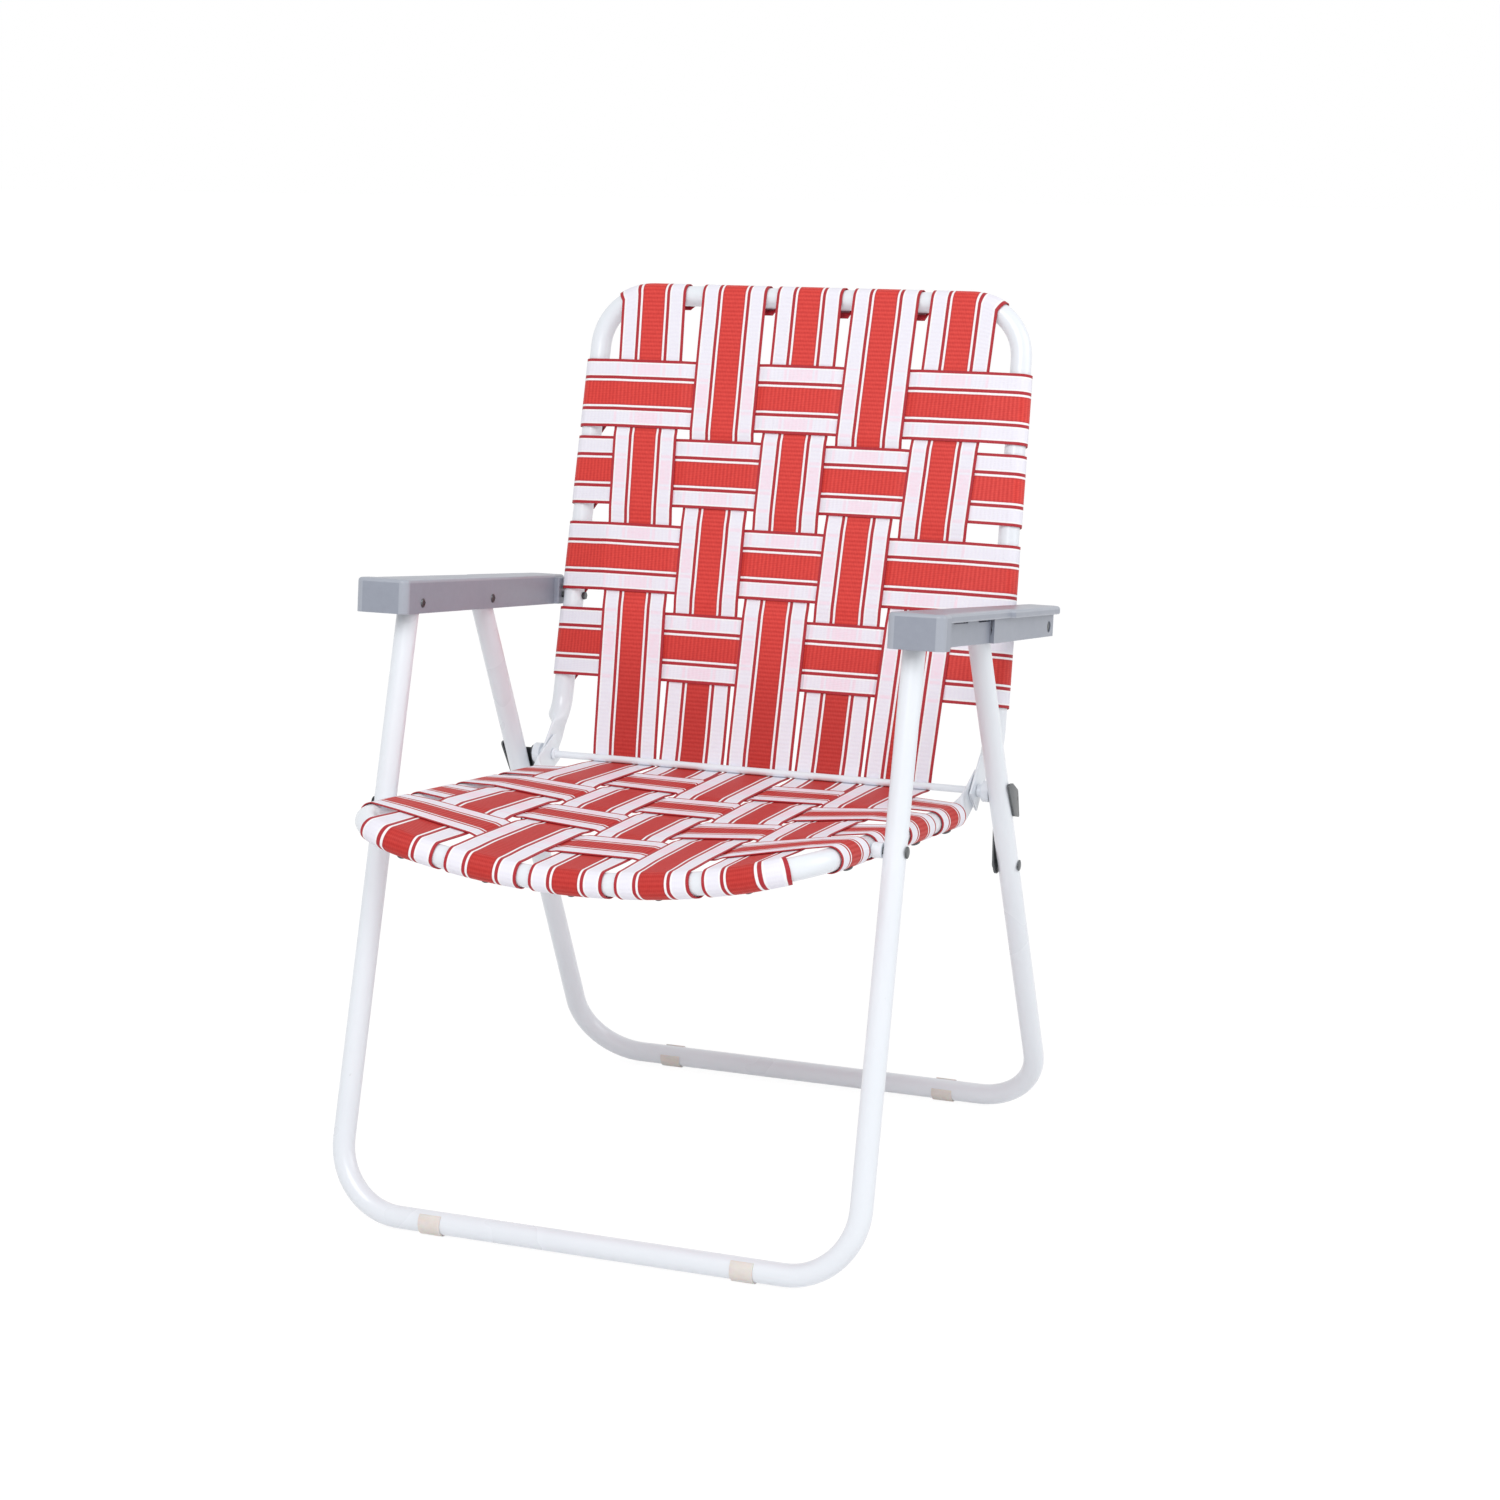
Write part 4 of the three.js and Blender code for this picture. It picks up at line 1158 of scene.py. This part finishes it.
def makeArmBolts(hand, side):
    body = "arm_" + hand
    gap = tube["fitGap"]
    seatGap = gap + pins["headRadius"] * armSlant
    legWidth = arm["wall"] + arm["play"] + 2 * tube["radius"]
    for placeName, along in (("front", 0), ("rear", linkage["rearLegReach"])):
        face = armInnerX + innerFace(along)
        bolt = boltProfile(face - seatGap, face + legWidth + gap)
        node = f"arm_{placeName}_bolt_{hand}"
        place = frontArmPivot + alongArm * along
        makeTurned(f"armBolt.{placeName}.{hand}", node, body, zinc, place, bolt, side)
    face = armInnerX + innerFace(linkage["backReach"])
    bolt = boltProfile(face + gap, armInnerX + armRearWall - pins["nutHeight"] - gap)
    node = "arm_back_bolt_" + hand
    makeTurned("armBolt.back." + hand, node, body, zinc, backArmPivot, bolt, side)

    nutFace = back["x"] - tube["radius"] - gap
    nutEnd = nutFace - pins["nutHeight"]
    radius, edge = pins["nutRadius"], pins["nutEdge"]
    pin = [(0, nutEnd), (radius - edge, nutEnd), (radius, nutEnd + edge), (radius, nutFace)]
    pin += [(pins["radius"], nutFace), (pins["radius"], face - gap), (0, face - gap)]
    node = "back_bolt_end_" + hand
    sides = pins["nutSides"]
    makeTurned("backBoltEnd." + hand, node, "back", zinc, backArmPivot, pin, side, sides)


for hand, side in handSides.items():
    makeArm(hand, side)
    makeArmBolts(hand, side)
print("arms moulded")

# Foot clips: open towards the legs
clip = dict(inner=9.65, outer=10.76, length=20, place=141, mouth=6.4, edge=0.35, arcSteps=40)


def makeClip(row, hand, side, bar, down, body):
    inStart = math.acos(clip["mouth"] / clip["inner"])
    outStart = math.acos(clip["mouth"] / clip["outer"])
    ring = arcPoints(0, 0, clip["outer"], outStart, 2 * math.pi - outStart, clip["arcSteps"])
    ring += arcPoints(0, 0, clip["inner"], 2 * math.pi - inStart, inStart, clip["arcSteps"])
    work = extrudedWork(ring, -clip["length"] / 2, clip["length"] / 2)
    name = f"footClip.{row}.{hand}"
    mesh = carve(name, scratchObject("clipBase", work), [], clip["edge"])
    axes = Matrix((xAxis, down.cross(xAxis), -down)).transposed()
    place = Vector((side * clip["place"], bar.y, bar.z))
    local = Matrix(((0, 0, 1, 0), (0, 1, 0, 0), (1, 0, 0, 0), (0, 0, 0, 1)))
    mesh.transform(placing(place) @ axes.to_4x4() @ local)
    rework(mesh, faceOut)
    finishMesh(name, mesh, clipPlastic, body, [f"{row}_foot_band_{hand}"])


for hand, side in handSides.items():
    makeClip("front", hand, side, frontBar, downFrontLeg, "front_legs")
    makeClip("rear", hand, side, rearBar, downRearLeg, "rear_legs")
print("foot clips made")

# Webbing
weave = dict(
    longTop=[-152.5, -71.5, 3, 77.5, 152.5],
    rodPitch=67,
    frontPitch=75,
    backTops=[695, 624, 545, 466],
    seatFirst=-203,
    seatPitch=83,
    seatCount=4,
    margin=1,
    topSkews=[4, 5.5, 5.5, 5.5, 0],
    topTails=[7, 11, 12, 12, 8],
    frontSkews=[7, 3, 4.5, 5, 3.5],
    frontTail=8,
    sideSkew=3.5,
    sideTail=6,
    skewStart=math.radians(110),
    tailSteps=4,
    tailTaper=0.2,
    edgeSteps=10,
    crossSteps=24,
    gapSteps=5,
    rodSteps=8,
    rodGap=1,
    backSettle=18,
    seatSettle=22,
    turnReach=3,
    sharp=60,
)
halfStrap = strapSizes["width"] / 2
wrapRadius = tube["radius"] + strapSizes["wrapGap"] + strapSizes["solidThickness"] / 2
rodWrapRadius = pins["rodRadius"] + tube["fitGap"] + strapSizes["solidThickness"] / 2
weaveLift = (strapSizes["solidThickness"] + strapSizes["weaveGap"]) / 2
columns = range(len(weave["longTop"]))
longRod = [(i - 2) * weave["rodPitch"] for i in columns]
longFront = [(i - 2) * weave["frontPitch"] for i in columns]
pointCount = strapSizes["pointsAcross"] + 1
acrossShares = [k / strapSizes["pointsAcross"] for k in range(pointCount)]
rodRise = (hinge - backArmPivot).dot(backUp)
rodFront = (hinge - backArmPivot).dot(backFront)


def riseAt(height):
    return (height - backArmPivot.z) / math.cos(back["recline"])


backRows = [(riseAt(top), riseAt(top) - strapSizes["width"]) for top in weave["backTops"]]
seatMiddles = [weave["seatFirst"] + i * weave["seatPitch"] for i in range(weave["seatCount"])]
seatRows = [(middle - halfStrap, middle + halfStrap) for middle in seatMiddles]


def crossOver(row, column):
    return 1 if (row + column) % 2 == 0 else -1


# Distance to the middle of the nearest crossing strap, in half widths.
def behindTone(offsets):
    return min([abs(offset) / halfStrap for offset in offsets] + [webLook["bareTone"]])


# Lift of a strap over and under the rows that it crosses: (start, end, sign) in order along it.
def liftAlong(place, zones):
    if place <= zones[0][0]:
        return zones[0][2]
    for (_, end, sign), (start, _, following) in zip(zones, zones[1:]):
        if place <= end:
            return sign
        if place < start:
            return mix(sign, following, smooth((place - end) / (start - end)))
    return zones[-1][2]


# A strap is a list of stations: points across it, the ways they face, and the tone there.
def strapMesh(name, stations):
    half = strapSizes["thickness"] / 2
    bulge = strapSizes["edgeBulge"] * half
    work = bmesh.new()
    mapLayer = work.loops.layers.uv.new("strapMap")
    toneLayer = work.verts.layers.float.new("strapTone")
    lengths = [length * mm for length in pathLengths([s[0][pointCount // 2] for s in stations])]
    ringShares = acrossShares + [1] + acrossShares[::-1] + [0]
    rows = []
    for line, faces, tone in stations:
        top = [p + f * half for p, f in zip(line, faces)]
        bottom = [p - f * half for p, f in zip(line, faces)]
        farEdge = line[-1] + (line[-1] - line[-2]).normalized() * bulge
        nearEdge = line[0] + (line[0] - line[1]).normalized() * bulge
        ring = top + [farEdge] + bottom[::-1] + [nearEdge]
        rows.append([work.verts.new(toFrame(point)) for point in ring])
        for vert in rows[-1]:
            vert[toneLayer] = tone

    def addFace(corners):
        face = work.faces.new([rows[i][j] for i, j in corners])
        for loop, (i, j) in zip(face.loops, corners):
            loop[mapLayer].uv = (ringShares[j], lengths[i])

    size = len(ringShares)
    last = len(rows) - 1
    for i in range(last):
        for j in range(size):
            k = (j + 1) % size
            addFace([(i, j), (i, k), (i + 1, k), (i + 1, j)])
    addFace([(0, j) for j in reversed(range(size))])
    addFace([(last, j) for j in range(size)])
    return meshOf(name, faceOut(work)), lengths[-1]


wrapCount = round(strapSizes["wrapEnd"] / strapSizes["wrapStep"])
wrapAngles = [math.radians(strapSizes["wrapEnd"] * k / wrapCount) for k in range(wrapCount + 1)]


def wrapStation(centres, faces, outwards, angle, radius):
    looks = [f * math.cos(angle) + o * math.sin(angle) for f, o in zip(faces, outwards)]
    return [c + look * radius for c, look in zip(centres, looks)], looks, webLook["bareTone"]


# A strap end: round its tube, drawn aside by skew, then a straight tail folded to a tip.
def strapEnd(centres, faces, outwards, skew, tail):
    stations = []
    begin, last = weave["skewStart"], wrapAngles[-1]
    for angle in wrapAngles:
        line, looks, tone = wrapStation(centres, faces, outwards, angle, wrapRadius)
        drawn = skew * max(0, (angle - begin) / (last - begin))
        stations.append(([point + drawn for point in line], looks, tone))
    before, (line, looks, tone) = stations[-2][0], stations[-1]
    middle = line[pointCount // 2]
    way = (middle - before[pointCount // 2]).normalized()
    for k in range(1, weave["tailSteps"] + 1):
        share = k / weave["tailSteps"]
        narrow = [middle.lerp(point, 1 - weave["tailTaper"] * share) for point in line]
        tailLine = [point + way * (tail * share) for point in narrow]
        # The tone rises along the tail, so the webbing paints the tail dark red as painted shade.
        stations.append((tailLine, looks, tone + share))
    return stations


def backEdge(column, hand, margin=0):
    shift = hand * (halfStrap + margin)
    bar, tangent = crossing(backPath, weave["longTop"][column] + shift)
    start = bar + backFront * wrapRadius
    end = onBack(longRod[column] + shift, rodRise, rodFront - rodWrapRadius)
    outward = tangent.cross(backFront)
    if outward.dot(backUp) < 0:
        outward.negate()
    startRise = (start - backArmPivot).dot(backUp)

    def atRise(rise):
        return start.lerp(end, (startRise - rise) / (startRise - rodRise))

    return dict(bar=bar, outward=outward, start=start, end=end, startRise=startRise, atRise=atRise)


def seatEdge(column, hand, margin=0):
    shift = hand * (halfStrap + margin)
    bar, tangent = crossing(seatPath, longFront[column] + shift)
    ahead = tangent.cross(upward).normalized()
    if ahead.y > 0:
        ahead.negate()
    face = tangent.cross(ahead).normalized()
    if face.z < 0:
        face.negate()
    start = Vector((longRod[column] + shift, hinge.y, hinge.z - rodWrapRadius))
    end = bar + face * wrapRadius

    def atY(y):
        return start.lerp(end, (y - start.y) / (end.y - start.y))

    return dict(bar=bar, ahead=ahead, face=face, start=start, end=end, atY=atY)


def stepsBetween(start, end):
    count = max(2, round(abs(end - start) / strapSizes["step"]))
    return [mix(start, end, k / count) for k in range(count + 1)]


def listed(rows, key):
    return [row[key] for row in rows]


def longStrapStations(column):
    bare, margin = webLook["bareTone"], weave["margin"]
    edgeShares = [k / weave["edgeSteps"] for k in range(1, weave["edgeSteps"] + 1)]
    hands = [1 - 2 * share for share in acrossShares]
    lines = [backEdge(column, hand) for hand in hands]
    fronts = [backFront] * pointCount
    skew = xAxis * weave["topSkews"][column]
    tail = weave["topTails"][column]
    stations = strapEnd(listed(lines, "bar"), fronts, listed(lines, "outward"), skew, tail)[::-1]
    zones = [
        (-top - margin, -bottom + margin, -crossOver(i, column))
        for i, (top, bottom) in enumerate(backRows)
    ]
    firstRow = backRows[0][0] + margin
    for step in edgeShares:
        points = []
        for line, share in zip(lines, acrossShares):
            rise = mix(line["startRise"], firstRow, step)
            flat = lines[0]["atRise"](rise).lerp(lines[-1]["atRise"](rise), share)
            point = line["atRise"](rise).lerp(flat, smooth(step))
            points.append(point + backFront * (zones[0][2] * weaveLift * smooth(step)))
        stations.append((points, fronts, bare))
    for rise in stepsBetween(firstRow, rodRise + weave["rodGap"])[1:]:
        settle = smooth((rise - rodRise) / weave["backSettle"])
        lift = backFront * (liftAlong(-rise, zones) * weaveLift * settle)
        near, far = lines[0]["atRise"](rise), lines[-1]["atRise"](rise)
        tone = behindTone(rise - (top + bottom) / 2 for top, bottom in backRows)
        points = [near.lerp(far, share) + lift for share in acrossShares]
        stations.append((points, fronts, tone))

    lines = [seatEdge(column, hand) for hand in hands]
    rods = [Vector((line["start"].x, hinge.y, hinge.z)) for line in lines]
    rearward = [Vector((0, 1, 0))] * pointCount
    downward = [Vector((0, 0, -1))] * pointCount
    firstTurn = -math.asin(backFront.z)
    for k in range(weave["rodSteps"] + 1):
        angle = mix(firstTurn, math.pi / 2, k / weave["rodSteps"])
        line, looks, tone = wrapStation(rods, rearward, downward, angle, rodWrapRadius)
        stations.append((line, [-look for look in looks], tone))
    zones = [
        (-rear - margin, -front + margin, -crossOver(len(seatRows) - 1 - i, column))
        for i, (front, rear) in enumerate(seatRows[::-1])
    ]
    lastRow = seatRows[0][0] - margin
    for y in stepsBetween(hinge.y, lastRow)[1:]:
        settle = smooth((hinge.y - y) / weave["seatSettle"])
        lift = upward * (liftAlong(-y, zones) * weaveLift * settle)
        near, far = lines[0]["atY"](y), lines[-1]["atY"](y)
        tone = behindTone(y - middle for middle in seatMiddles)
        points = [near.lerp(far, share) + lift for share in acrossShares]
        stations.append((points, [upward] * pointCount, tone))
    for step in edgeShares[:-1]:
        points = []
        looks = []
        for line, share in zip(lines, acrossShares):
            y = mix(lastRow, line["end"].y, step)
            flat = lines[0]["atY"](y).lerp(lines[-1]["atY"](y), share)
            point = flat.lerp(line["atY"](y), smooth(step))
            points.append(point + upward * (zones[-1][2] * weaveLift * (1 - smooth(step))))
            looks.append(upward.lerp(line["face"], smooth(step)).normalized())
        stations.append((points, looks, bare))
    skew = xAxis * weave["frontSkews"][column]
    bars, faces, aheads = (listed(lines, key) for key in ("bar", "face", "ahead"))
    return stations + strapEnd(bars, faces, aheads, skew, weave["frontTail"])


# The side tubes that the cross straps are wrapped round, by rise or by depth
def backSide(side, rise):
    return onBack(side * backX(rise), rise, 0)


def seatSide(side, y):
    return Vector((side * seat["x"], y, seatTubeZ(y)))


# A cross strap from tube to tube; edges are those of the long straps, each with its line under at.
def crossStations(row, span, sideAt, edges, at, normal, skew):
    bare = webLook["bareTone"]
    places = [mix(*span, share) for share in acrossShares]
    signs = [crossOver(row, column) for column in columns]
    faces = [normal] * pointCount
    edgeShares = [k / weave["edgeSteps"] for k in range(1, weave["edgeSteps"])]

    def endOn(side):
        centres = [sideAt(side, place) for place in places]
        outwards = [Vector((side, 0, 0))] * pointCount
        return strapEnd(centres, faces, outwards, skew, weave["sideTail"])

    def lineAt(column, along):
        points = []
        for place in places:
            near, far = (edges[column, hand][at](place) for hand in (-1, 1))
            lift = signs[column]
            point = near.lerp(far, along)
            if along > 1:
                share = along - 1
                lift = mix(lift, signs[column + 1], smooth(share))
                point = far.lerp(edges[column + 1, -1][at](place), share)
            points.append(point + normal * (lift * weaveLift))
        return points

    def between(start, end):
        return [
            ([a.lerp(b, share) for a, b in zip(start, end)], faces, bare) for share in edgeShares
        ]

    left, right = endOn(-1), endOn(1)
    stations = left[::-1] + between(left[0][0], lineAt(0, 0))
    for column in columns:
        steps = [k / weave["crossSteps"] for k in range(weave["crossSteps"] + 1)]
        if column < columns[-1]:
            steps += [1 + k / weave["gapSteps"] for k in range(1, weave["gapSteps"])]
        for along in steps:
            tone = min(abs(2 * along - 1), bare)
            stations.append((lineAt(column, along), faces, tone))
    return stations + between(lineAt(columns[-1], 1), right[0][0]) + right


pivot = toFrame(hinge)
turnWay = Vector((0, -1, -1)).normalized() * (weave["turnReach"] * mm)
for column in columns:
    name = f"longStrap.{column + 1}"
    mesh, length = strapMesh(name, longStrapStations(column))
    nodes = [f"back_long_strap_{column + 1}", f"seat_long_strap_{column + 1}"]
    piece = finishMesh(name, mesh, webbing, None, nodes, weave["sharp"])
    pivot - turnWay
    pivot + turnWay
    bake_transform(piece)
crossKinds = {
    "back": (backRows, backSide, backEdge, "atRise", backFront, backUp * -weave["sideSkew"]),
    "seat": (seatRows, seatSide, seatEdge, "atY", upward, Vector((0, 0, 0))),
}
for body, (rows, sideAt, edgeOf, at, normal, skew) in crossKinds.items():
    edges = {(c, hand): edgeOf(c, hand, weave["margin"]) for c in columns for hand in (-1, 1)}
    for row, span in enumerate(rows):
        name = f"{body}CrossStrap.{row + 1}"
        mesh, length = strapMesh(name, crossStations(row, span, sideAt, edges, at, normal, skew))
        nodes = [f"{body}_cross_strap_{row + 1}"]
        piece = finishMesh(name, mesh, webbing, body, nodes, weave["sharp"])
        body + "Tube"
print("straps woven")


# Strap and arm screws: domed heads with a cross slot, set on points by a node tree
screw = {"Head Radius": 4.2, "Head Height": 1.7, "Slot Width": 0.9, "Slot Length": 5.2}
armScrew = {"Head Radius": 4, "Head Height": 1.2, "Slot Width": 1.1, "Slot Length": 5}
screwForm = dict(slotDeeper=1.06, around=24, rings=12, wrapAngle=160, frontAngle=197, sharp=30)


def makeScrewTree():
    tree = bpy.data.node_groups.new("strapScrews", "GeometryNodeTree")
    inputs = {name: "NodeSocketFloat" for name in screw} | {"Finish": "NodeSocketMaterial"}
    face = tree.interface
    face.new_socket("Geometry", in_out="INPUT", socket_type="NodeSocketGeometry")
    sockets = {n: face.new_socket(n, in_out="INPUT", socket_type=t) for n, t in inputs.items()}
    face.new_socket("Geometry", in_out="OUTPUT", socket_type="NodeSocketGeometry")
    start = Flow(tree)
    group = tree.nodes.new("NodeGroupInput")
    given = {name: Flow(tree, group.outputs[name]) for name in ("Geometry", *inputs)}
    radius, height = given["Head Radius"], given["Head Height"]
    ball = {"Segments": screwForm["around"], "Rings": screwForm["rings"], "Radius": radius}
    dome = start.add("GeometryNodeMeshUVSphere", None, ball)
    squash = height.maths("DIVIDE", height, radius)
    flat = start.add("ShaderNodeCombineXYZ", None, {0: 1.0, 1: 1.0, 2: squash})
    head = start.add("GeometryNodeTransform", None, {"Geometry": dome, "Scale": flat})
    cutNode = tree.nodes.new("GeometryNodeMeshBoolean")
    cutNode.operation = "DIFFERENCE"
    tree.links.new(head.socket, cutNode.inputs["Mesh 1"])
    lift = start.add("ShaderNodeCombineXYZ", None, {2: height})

    # One slot is a little deeper, so that no two faces of the slots lie in one plane.
    for long, short, deep in ((0, 1, 1.0), (1, 0, screwForm["slotDeeper"])):
        sizes = {long: given["Slot Length"], short: given["Slot Width"], 2: height * deep}
        size = start.add("ShaderNodeCombineXYZ", None, sizes)
        box = start.add("GeometryNodeMeshCube", None, {"Size": size})
        slot = start.add("GeometryNodeTransform", None, {"Geometry": box, "Translation": lift})
        tree.links.new(slot.socket, cutNode.inputs["Mesh 2"])
    named = {"data_type": "FLOAT_VECTOR"}
    way = start.add("GeometryNodeInputNamedAttribute", named, {"Name": "outward"})
    turn = start.add("FunctionNodeAlignRotationToVector", {"axis": "Z"}, {"Vector": way})
    cut = Flow(tree, cutNode.outputs[0])
    spread = {"Points": given["Geometry"], "Instance": cut, "Rotation": turn}
    placed = start.add("GeometryNodeInstanceOnPoints", None, spread)
    solid = start.add("GeometryNodeRealizeInstances", None, {"Geometry": placed})
    finish = {"Geometry": solid, "Material": given["Finish"]}
    done = start.add("GeometryNodeSetMaterial", None, finish)
    result = tree.nodes.new("NodeGroupOutput")
    tree.links.new(done.socket, result.inputs["Geometry"])
    return tree, {name: socket.identifier for name, socket in sockets.items()}


screwTree, screwInputs = makeScrewTree()


def makeScrews(name, body, places, kind):
    mesh = bpy.data.meshes.new(name)
    mesh.from_pydata([toFrame(point) for point, _ in places], [], [])
    outward = mesh.attributes.new("outward", "FLOAT_VECTOR", "POINT")
    outward.data.foreach_set("vector", [v for _, way in places for v in way])
    holder = addObject(name + "Points", mesh)
    change = holder.modifiers.new("screws", "NODES")
    change.node_group = screwTree
    for label, value in kind.items():
        change[screwInputs[label]] = value * mm
    change[screwInputs["Finish"]] = zinc
    made = bakedMesh(holder)
    bpy.data.objects.remove(holder)
    finishMesh(name, made, zinc, body, [], screwForm["sharp"])


screwSeat = wrapRadius + strapSizes["thickness"] / 2


def wrapPoint(centre, face, outward, degrees=screwForm["wrapAngle"]):
    angle = math.radians(degrees)
    look = face * math.cos(angle) + outward * math.sin(angle)
    return centre + look * screwSeat, look


backScrews = []
seatScrews = []
for column in columns:
    edge = backEdge(column, 0)
    backScrews.append(wrapPoint(edge["bar"], backFront, edge["outward"]))
    edge = seatEdge(column, 0)
    ahead = edge["ahead"]
    seatScrews.append(wrapPoint(edge["bar"], edge["face"], ahead, screwForm["frontAngle"]))
for side in handSides.values():
    out = Vector((side, 0, 0))
    for top, bottom in backRows:
        backScrews.append(wrapPoint(backSide(side, (top + bottom) / 2), backFront, out))
    for y in seatMiddles:
        seatScrews.append(wrapPoint(seatSide(side, y), upward, out))
makeScrews("backStrapScrews", "back", backScrews, screw)
makeScrews("seatStrapScrews", "seat", seatScrews, screw)
for hand, side in handSides.items():
    armScrews = []
    for along in (0, linkage["rearLegReach"]):
        place = frontArmPivot + alongArm * along
        place.x = side * (armInnerX + innerFace(along) - tube["fitGap"])
        armScrews.append((place, Vector((-side, 0, 0))))
    makeScrews("armScrews." + hand, "arm_" + hand, armScrews, armScrew)
print("strap screws set")

# Studio: pale floor, soft light, camera at the photograph's angle
studio = dict(
    ambient=0.58,
    floorSize=30,
    floorGlow=0.86,
    floorWhite=1.08,
    floorFixed={"Base Color": (0.9, 0.9, 0.9, 1), "Roughness": 0.8},
    lampSize=2.4,
    lampTarget=Vector((0, 0, 0.4)),
    lamps={"keyLamp": ((0.5, -2.72, 2.75), 60), "fillLamp": ((2.9, 0.6, 1.9), 25)},
)
white = (1, 1, 1, 1)


# What the camera sees, straight or by way of a shiny or clear surface.
def seenRays(tree):
    rays = tree.nodes.new("ShaderNodeLightPath").outputs
    seen = Flow(tree, rays["Is Camera Ray"]).largest(Flow(tree, rays["Is Glossy Ray"]))
    return seen.largest(Flow(tree, rays["Is Transmission Ray"]))


world = bpy.data.worlds.new("studio")
bpy.context.scene.world = world
world.use_nodes = True
background = world.node_tree.nodes["Background"]
background.inputs["Color"].default_value = white
strength = seenRays(world.node_tree) * (1 - studio["ambient"]) + studio["ambient"]
world.node_tree.links.new(strength.socket, background.inputs["Strength"])

floorMesh = bpy.data.meshes.new("floor")
corners = [(-1, -1, 0), (1, -1, 0), (1, 1, 0), (-1, 1, 0)]
floorCorners = [Vector(corner) * studio["floorSize"] for corner in corners]
floorMesh.from_pydata(floorCorners, [], [(0, 1, 2, 3)])
floor = addObject("floor", floorMesh)
floorMaterial, floorFlow, _ = newMaterial("paleFloor", studio["floorFixed"])
floorTree = floorMaterial.node_tree
shine = {"Color": white, "Strength": studio["floorWhite"]}
glow = floorFlow.add("ShaderNodeEmission", None, shine)
lit = Flow(floorTree, floorTree.nodes["Principled BSDF"].outputs[0])
blendIn = {0: seenRays(floorTree) * studio["floorGlow"], 1: lit, 2: glow}
mixed = floorFlow.add("ShaderNodeMixShader", None, blendIn)
floorTree.links.new(mixed.socket, floorTree.nodes["Material Output"].inputs["Surface"])
floorMesh.materials.append(floorMaterial)

for name, (place, power) in studio["lamps"].items():
    lamp = bpy.data.lights.new(name, "AREA")
    lamp.shape = "DISK"
    lamp.size = studio["lampSize"]
    lamp.energy = power
    stand = addObject(name, lamp)
    stand.location = place
    stand.rotation_mode = "QUATERNION"
    stand.rotation_quaternion = (studio["lampTarget"] - Vector(place)).to_track_quat("-Z", "Y")

# The focal length was fitted in pixels of the photograph.
view = dict(
    place=(1.0212, -2.4285, 0.9222),
    azimuth=math.radians(21.868),
    elevation=math.radians(11.597),
    roll=math.radians(0.221),
    focalPixels=3088.513,
    photoPixels=1500,
    sensor=36,
    clipEnd=100,
)
camera = addObject("camera", bpy.data.cameras.new("camera"))
level = math.cos(view["elevation"])
towards = Vector(
    (
        -math.sin(view["azimuth"]) * level,
        math.cos(view["azimuth"]) * level,
        -math.sin(view["elevation"]),
    )
)
camera.location = view["place"]
camera.rotation_mode = "QUATERNION"
roll = Quaternion((0, 0, 1), view["roll"])
camera.rotation_quaternion = towards.to_track_quat("-Z", "Y") @ roll
camera.data.sensor_width = view["sensor"]
camera.data.lens = view["focalPixels"] / view["photoPixels"] * view["sensor"]
camera.data.clip_end = view["clipEnd"]
bpy.context.scene.camera = camera
bpy.context.scene.view_settings.view_transform = "Standard"
print("studio set")

bpy.context.view_layer.update()
